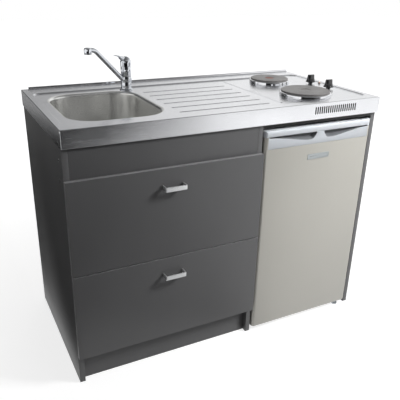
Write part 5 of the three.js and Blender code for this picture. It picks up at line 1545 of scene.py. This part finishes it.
@dataclass
class PullOuts:
    """Two deep pull-outs on roller runners."""

    levels: tuple[str, ...] = ("upper", "lower")
    inner_face: float = 10.5
    handle_feet: float = 35.75
    parts: tuple[tuple[str, str, Finish], ...] = (
        ("side_left", "white_coat", WHITE_COAT), ("side_right", "white_coat", WHITE_COAT),
        ("bottom", "white_board", WHITE_BOARD), ("back", "white_board", WHITE_BOARD))

    def build(self) -> None:
        """Makes both pull-outs and their runners."""
        for level in self.levels:
            self.pull_out(level)
            for side in ("left", "right"):
                node = f"{level}_runner_{side}"
                dress_node(node, f"{node}_steel", "kitchenette", "zinc_steel", ZINC, 0.3, 1)

    def pull_out(self, level: str) -> None:
        """Makes one pull-out: front, handle, sides, bottom and back."""
        body = f"{level}_drawer"
        front = refined(f"{body}_front", 0.4, 3)
        # The front's narrow edges get the paler painted highlight.
        highlit_edges = [int(abs(polygon.normal.y) < 0.5) for polygon in front.polygons]
        add_piece(f"{body}_front_faced", front, body, "grey_board", BOARD, FRONT_EDGE_HIGHLIGHT,
                  replaces=(f"{body}_front",), numbers=highlit_edges)
        dress_node(f"{body}_handle", f"{body}_bar_handle", body, "satin_metal", SATIN,
                   1.6, 4, 25.0, 50.0)
        low, high = (Vector(corner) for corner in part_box(f"{body}_handle"))
        middle = (low + high) / 2
        start = Vector((middle.x - self.handle_feet * MM, place(0, self.inner_face, 0).y, middle.z))
        screws = Pattern(f"{body}_handle_screws", Stamp.CAP, ZINC, (0.004, 0.0018, 0.004), 2, start,
                         (2 * self.handle_feet * MM, 0.0, 0.0)).mesh()
        add_piece(f"{body}_handle_screw_heads", screws, body, "zinc_steel", ZINC)
        for part, slot, finish in self.parts:
            node = f"{body}_{part}"
            dress_node(node, f"{node}_finished", body, slot, finish, 0.4)


# ------------------------------------------------------------------ refrigerator


@dataclass
class Refrigerator:
    """Under-counter refrigerator with its door, fittings and cooling parts."""

    centre: float = 936.0
    trim_bottom: float = 761.5
    cap_bottom: float = 806.0
    plate_height: float = 713.5
    inner_face: float = 39.4
    pocket_depth: float = 18.4
    pocket_height: float = 27.0
    pocket_half: float = 222.5
    room_half: float = 202.5
    room_depths: tuple[float, float] = (46.0, 471.0)
    room_heights: tuple[float, float] = (58.0, 794.0)

    def build(self) -> None:
        """Makes the door, cabinet, fittings and cooling parts."""
        self.door()
        cabinet = refined("fridge_cabinet", 1.0, 3)
        add_piece("fridge_cabinet_shell", cabinet, "kitchenette", "insulated_white", WHITE_COAT,
                  LINER, replaces=("fridge_cabinet",),
                  numbers=[int(self.in_room(polygon.center)) for polygon in cabinet.polygons])
        for node, body, slot, finish, ease in (
                ("door_gasket", "fridge_door", "seal", RUBBER, 0.6),
                ("hinge_lower", "kitchenette", "zinc_steel", ZINC, 0.4),
                ("hinge_upper", "kitchenette", "zinc_steel", ZINC, 0.4),
                ("fridge_shelf", "kitchenette", "clear_glass", GLASS, 0.5),
                ("crisper_drawer", "kitchenette", "clear_plastic", CLEAR_PLASTIC, 0.5),
                ("freezer_flap", "freezer_flap", "white_plastic", WHITE_PLASTIC, 0.8),
                ("thermostat_knob", "thermostat", "white_plastic", WHITE_PLASTIC, 0.6),
                ("compressor", "kitchenette", "black_steel", BLACK_ENAMEL, 0.6),
                ("condenser", "kitchenette", "black_steel", BLACK_ENAMEL, 0.0)):
            dress_node(node, f"{node}_finished", body, slot, finish, ease)

    def within(self, point: Vector, low: Vector, high: Vector, half: float) -> bool:
        """Whether a point lies between two heights and depths, near the middle plane.

        Args:
            point: Point to test.
            low: Lower limits of depth and height.
            high: Upper limits of depth and height.
            half: Greatest distance from the refrigerator's middle plane, in millimetres.

        Returns:
            Whether it does.
        """
        return (low.y < point.y < high.y and low.z < point.z < high.z
                and abs(point.x - place(self.centre, 0, 0).x) < half * MM)

    def in_room(self, point: Vector) -> bool:
        """Whether a point of the cabinet belongs to its lined inside."""
        low, high = (place(0, y, z) for y, z in zip(self.room_depths, self.room_heights))
        return self.within(point, low, high, self.room_half)

    def door(self) -> None:
        """Makes the door: painted skin, moulded top trim, liner, top cap and bare badge plate."""
        mesh = refined("fridge_door", 1.0, 3)
        add_piece("door_skin", mesh, "fridge_door", "insulated_grey", DOOR_PAINT, DOOR_TRIM, LINER,
                  POCKET_SHADE, replaces=("fridge_door",),
                  numbers=[self.door_zone(polygon.center) for polygon in mesh.polygons])
        dress_node("door_grip_cap", "door_top_cap", "fridge_door", "grey_trim", CAP_TRIM, 1.0, 4)
        add_piece("door_bare_plate", self.plate_mesh(), "fridge_door", "polished_sheet", BARE_PLATE)

    def door_zone(self, point: Vector) -> int:
        """Material number of a door face: paint 0, trim 1, liner 2 or the grip pocket's painted
        shade 3.
        """
        low = place(0, 1.2, self.cap_bottom - self.pocket_height)
        high = place(0, self.pocket_depth, self.cap_bottom - 0.3)
        if point.y > place(0, self.inner_face, 0).y:
            return 2
        # The grip pockets get the darker grey of painted shade.
        if self.within(point, low, high, self.pocket_half):
            return 3
        return int(point.z > place(0, 0, self.trim_bottom).z)

    def plate_mesh(self) -> Mesh:
        """Bare plate on the door: thin, round-cornered, with a raised rim and a pressed bar."""
        x, z = self.centre, self.plate_height
        origin, loops = place(0, 0, 0), []
        for inset, depth in ((0.0, 0.2), (0.0, -0.7), (0.4, -1.1), (1.3, -1.1), (1.8, -0.6),
                             (2.2, -0.5)):
            loop = rounded_loop(0, 0, 98 - 2 * inset, 21 - 2 * inset, 3.2 - inset, 0, 5, 2)
            flat = [point - origin for point in loop]
            loops.append([place(x, depth, z) + Vector((p.x, 0, p.y)) for p in flat])
        bar = new_mesh("bar", *block(x - 38, x + 38, -1.2, -0.4, z - 1.9, z + 1.9))
        return merged("door_bare_plate", shaded("plate", skin_loops(loops)), bevelled(bar, 0.35))


# ------------------------------------------------------------------ setting


@dataclass(frozen=True)
class Flag:
    """Card that only mirror-like surfaces see, graded in brightness along one side."""

    name: str
    corner: Point
    along: Point
    across: Point
    grades: tuple[tuple[float, float], ...]

    def build(self) -> None:
        """Makes the card; the grades are pairs of share along its graded side and brightness."""
        corner, along, across = (Vector(value) for value in (self.corner, self.along, self.across))
        corners = [corner, corner + along, corner + along + across, corner + across]
        mesh = new_mesh(self.name, corners, [(0, 1, 2, 3)])
        mesh.materials.append(self.material())
        card = linked(self.name, mesh)

    def material(self) -> bpy.types.Material:
        """Graded glow for reflections and nothing for every other ray."""
        graph = Graph(self.name)
        graph.tree.nodes.remove(graph.shader)
        along = Vector(self.along)
        turn = math.atan2(along.y, along.x)
        vector = graph.coordinates((1 / along.length, 1, 1), self.corner, (0.0, 0.0, turn))
        share = graph.add("ShaderNodeSeparateXYZ", {0: vector}).outputs["X"]
        ramp = graph.add("ShaderNodeValToRGB", {0: share})
        elements = ramp.color_ramp.elements
        while len(elements) < len(self.grades):
            elements.new(0.5)
        for element, (position, level) in zip(elements, self.grades):
            element.position = position
            element.color = (level, level, level, 1.0)
        glow = graph.add("ShaderNodeEmission", {"Color": ramp.outputs[0]})
        clear = graph.add("ShaderNodeBsdfTransparent")
        path = graph.add("ShaderNodeLightPath")
        mix = graph.add("ShaderNodeMixShader", {
            0: path.outputs["Is Glossy Ray"], 1: clear.outputs[0], 2: glow.outputs[0]})
        feed(graph.tree, graph.output, "Surface", mix.outputs[0])
        return graph.material


@dataclass(frozen=True)
class Lamp:
    """Square area lamp: place, aim and size in metres, power in watts."""

    name: str
    power: float
    spot: Point
    target: Point
    size: float

    def build(self) -> None:
        """Makes the lamp; it leaves no glare of its own on metal."""
        data = bpy.data.lights.new(self.name, "AREA")
        data.size = self.size
        data.energy = self.power
        lamp = linked(self.name, data)
        lamp.visible_glossy = False
        lamp.location = self.spot
        aim = Vector(self.target) - Vector(self.spot)
        lamp.rotation_euler = aim.to_track_quat("-Z", "Y").to_euler()


@dataclass
class Studio:
    """White floor and backdrop, soft lamps, graded cards for the metal, and the camera.

    The camera's numbers are worked out from the photograph: where it stood, how it was turned, and
    its focal length and middle in picture points.
    """

    soft: float = 0.27
    floor_half: float = 14.0
    floor_level: float = -0.0005
    floor_colours: tuple[float, float] = (0.1, 0.36)
    glow_radii: tuple[float, float] = (0.7, 2.6)
    glow_levels: tuple[float, float] = (0.76, 1.0)
    camera_place: Point = (-305.96, -1449.77, 1321.80)
    pitch: float = 0.406890
    roll: float = 0.0229604
    yaw: float = 0.4775338
    focal_points: float = 527.934
    picture_points: float = 400
    middle: tuple[float, float] = (198.654, 200.650)
    sensor: float = 36
    far: float = 50
    lamps: tuple[Lamp, ...] = (
        Lamp("key", 64.0, (1.5, -1.4, 2.0), (0.1, -0.1, 0.55), 0.65),
        Lamp("fill", 7.5, (-2.4, -2.0, 2.4), (0.0, 0.0, 0.5), 2.4),
        Lamp("back", 16.0, (0.3, 2.6, 2.0), (0.0, 0.3, 0.5), 1.6),
    )
    flags: tuple[Flag, ...] = (
        Flag("front_floor_card", (-6.0, -3.225, 0.004), (7.0, 3.345, 0.0), (5.96, -12.48, 0.0),
             ((0.0, 0.005), (0.734, 0.005), (0.76, 0.19), (0.787, 0.47), (0.861, 0.7),
              (0.887, 1.25))),
        Flag("left_floor_card", (-5.0, -1.0, 0.006), (0.0, 15.0, 0.0), (4.36, 0.0, 0.0),
             ((0.0, 0.015), (0.24, 0.015), (0.27, 0.08), (0.3, 0.12), (0.34, 0.25), (0.5, 0.34))),
        Flag("rear_card", (-4.5, 2.8, 0.6), (8.0, 0.0, 0.0), (0.0, 0.0, 2.0),
             ((0.0, 0.02), (0.44, 0.04), (0.52, 0.38), (0.6, 0.52), (0.68, 0.76), (0.8, 1.0))),
        Flag("ceiling_card", (-4.0, -3.5, 3.0), (8.0, 0.0, 0.0), (0.0, 5.4, 0.0),
             ((0.0, 0.1), (0.5, 0.17), (0.75, 0.42), (1.0, 0.7))),
        Flag("rear_ceiling_card", (-4.0, 1.9, 3.0), (8.0, 0.0, 0.0), (0.0, 1.2, 0.0),
             ((0.0, 0.08), (0.48, 0.14), (0.54, 0.8), (0.7, 1.0))),
        Flag("front_card", (-5.0, -4.2, 0.7), (10.0, 0.0, 0.0), (0.0, 0.0, 2.3),
             ((0.0, 0.02), (0.53, 0.02), (0.6, 0.08), (0.74, 0.15), (0.79, 0.45), (0.84, 1.0))),
    )

    def build(self) -> None:
        """Sets the floor, surroundings, cards, lamps and camera."""
        self.floor()
        self.world()
        for item in (*self.flags, *self.lamps):
            item.build()
        self.camera()

    def floor(self) -> None:
        """Makes the floor: it keeps the object's shadow close by and fades to plain white."""
        corners = [Vector((x * self.floor_half, y * self.floor_half, self.floor_level))
                   for x, y in ((-1, -1), (1, -1), (1, 1), (-1, 1))]
        mesh = new_mesh("floor", corners, [(0, 1, 2, 3)])
        graph = Graph("white_floor")
        seen = plainly_seen(graph.tree)
        glow = graph.remap(graph.radius((0.0, 0.0, 0.0)), *self.glow_radii, *self.glow_levels)
        hidden, shown = ((level, level, level) for level in self.floor_colours)
        graph.dress({"Base Color": graph.blend(seen, hidden, shown), "Roughness": 0.9,
                     "Emission Color": (1.0, 1.0, 1.0),
                     "Emission Strength": graph.compute("MULTIPLY", seen, glow)})
        mesh.materials.append(graph.material)
        floor = linked("floor", mesh)

    def world(self) -> None:
        """Sets a white backdrop for the camera and for reflections, and soft light for the rest."""
        world = bpy.data.worlds.new("studio")
        bpy.context.scene.world = world
        world.use_nodes = True
        tree = world.node_tree
        soft = tree.nodes["Background"]
        for socket, value in (("Color", (1.0, 1.0, 1.0)), ("Strength", self.soft)):
            feed(tree, soft, socket, value)
        white = grow(tree, "ShaderNodeBackground", {"Color": (1.0, 1.0, 1.0)})
        mix = grow(tree, "ShaderNodeMixShader", {
            0: plainly_seen(tree), 1: soft.outputs[0], 2: white.outputs[0]})
        feed(tree, tree.nodes["World Output"], "Surface", mix.outputs[0])

    def camera(self) -> None:
        """Sets the camera where the photograph was taken from."""
        ahead = Vector((math.sin(self.yaw) * math.cos(self.pitch),
                        math.cos(self.yaw) * math.cos(self.pitch), -math.sin(self.pitch)))
        level = Vector((math.cos(self.yaw), -math.sin(self.yaw), 0))
        over = level.cross(ahead)
        right = level * math.cos(self.roll) + over * math.sin(self.roll)
        up = over * math.cos(self.roll) - level * math.sin(self.roll)
        points = self.picture_points
        data = bpy.data.cameras.new("photo_camera")
        data.sensor_width = self.sensor
        data.lens = self.focal_points * self.sensor / points
        data.shift_x = (points / 2 - self.middle[0]) / points
        data.shift_y = (self.middle[1] - points / 2) / points
        data.clip_end = self.far
        camera = linked("photo_camera", data)
        turn = Matrix((right, up, -ahead)).transposed()
        camera.matrix_world = Matrix.Translation(place(*self.camera_place)) @ turn.to_4x4()
        bpy.context.scene.camera = camera


def main() -> None:
    """Builds the sub-assemblies in order, sets the studio and closes the scene."""
    logging.basicConfig(level=logging.INFO, format="%(message)s")
    for assembly in (Worktop(), Bowl(), Tap(), Hob(), Carcass(), PullOuts(), Refrigerator(),
                     Studio()):
        LOG.info("building %s", type(assembly).__name__)
        assembly.build()
    bpy.context.scene.view_settings.view_transform = "Standard"


if __name__ == "__main__":
    main()
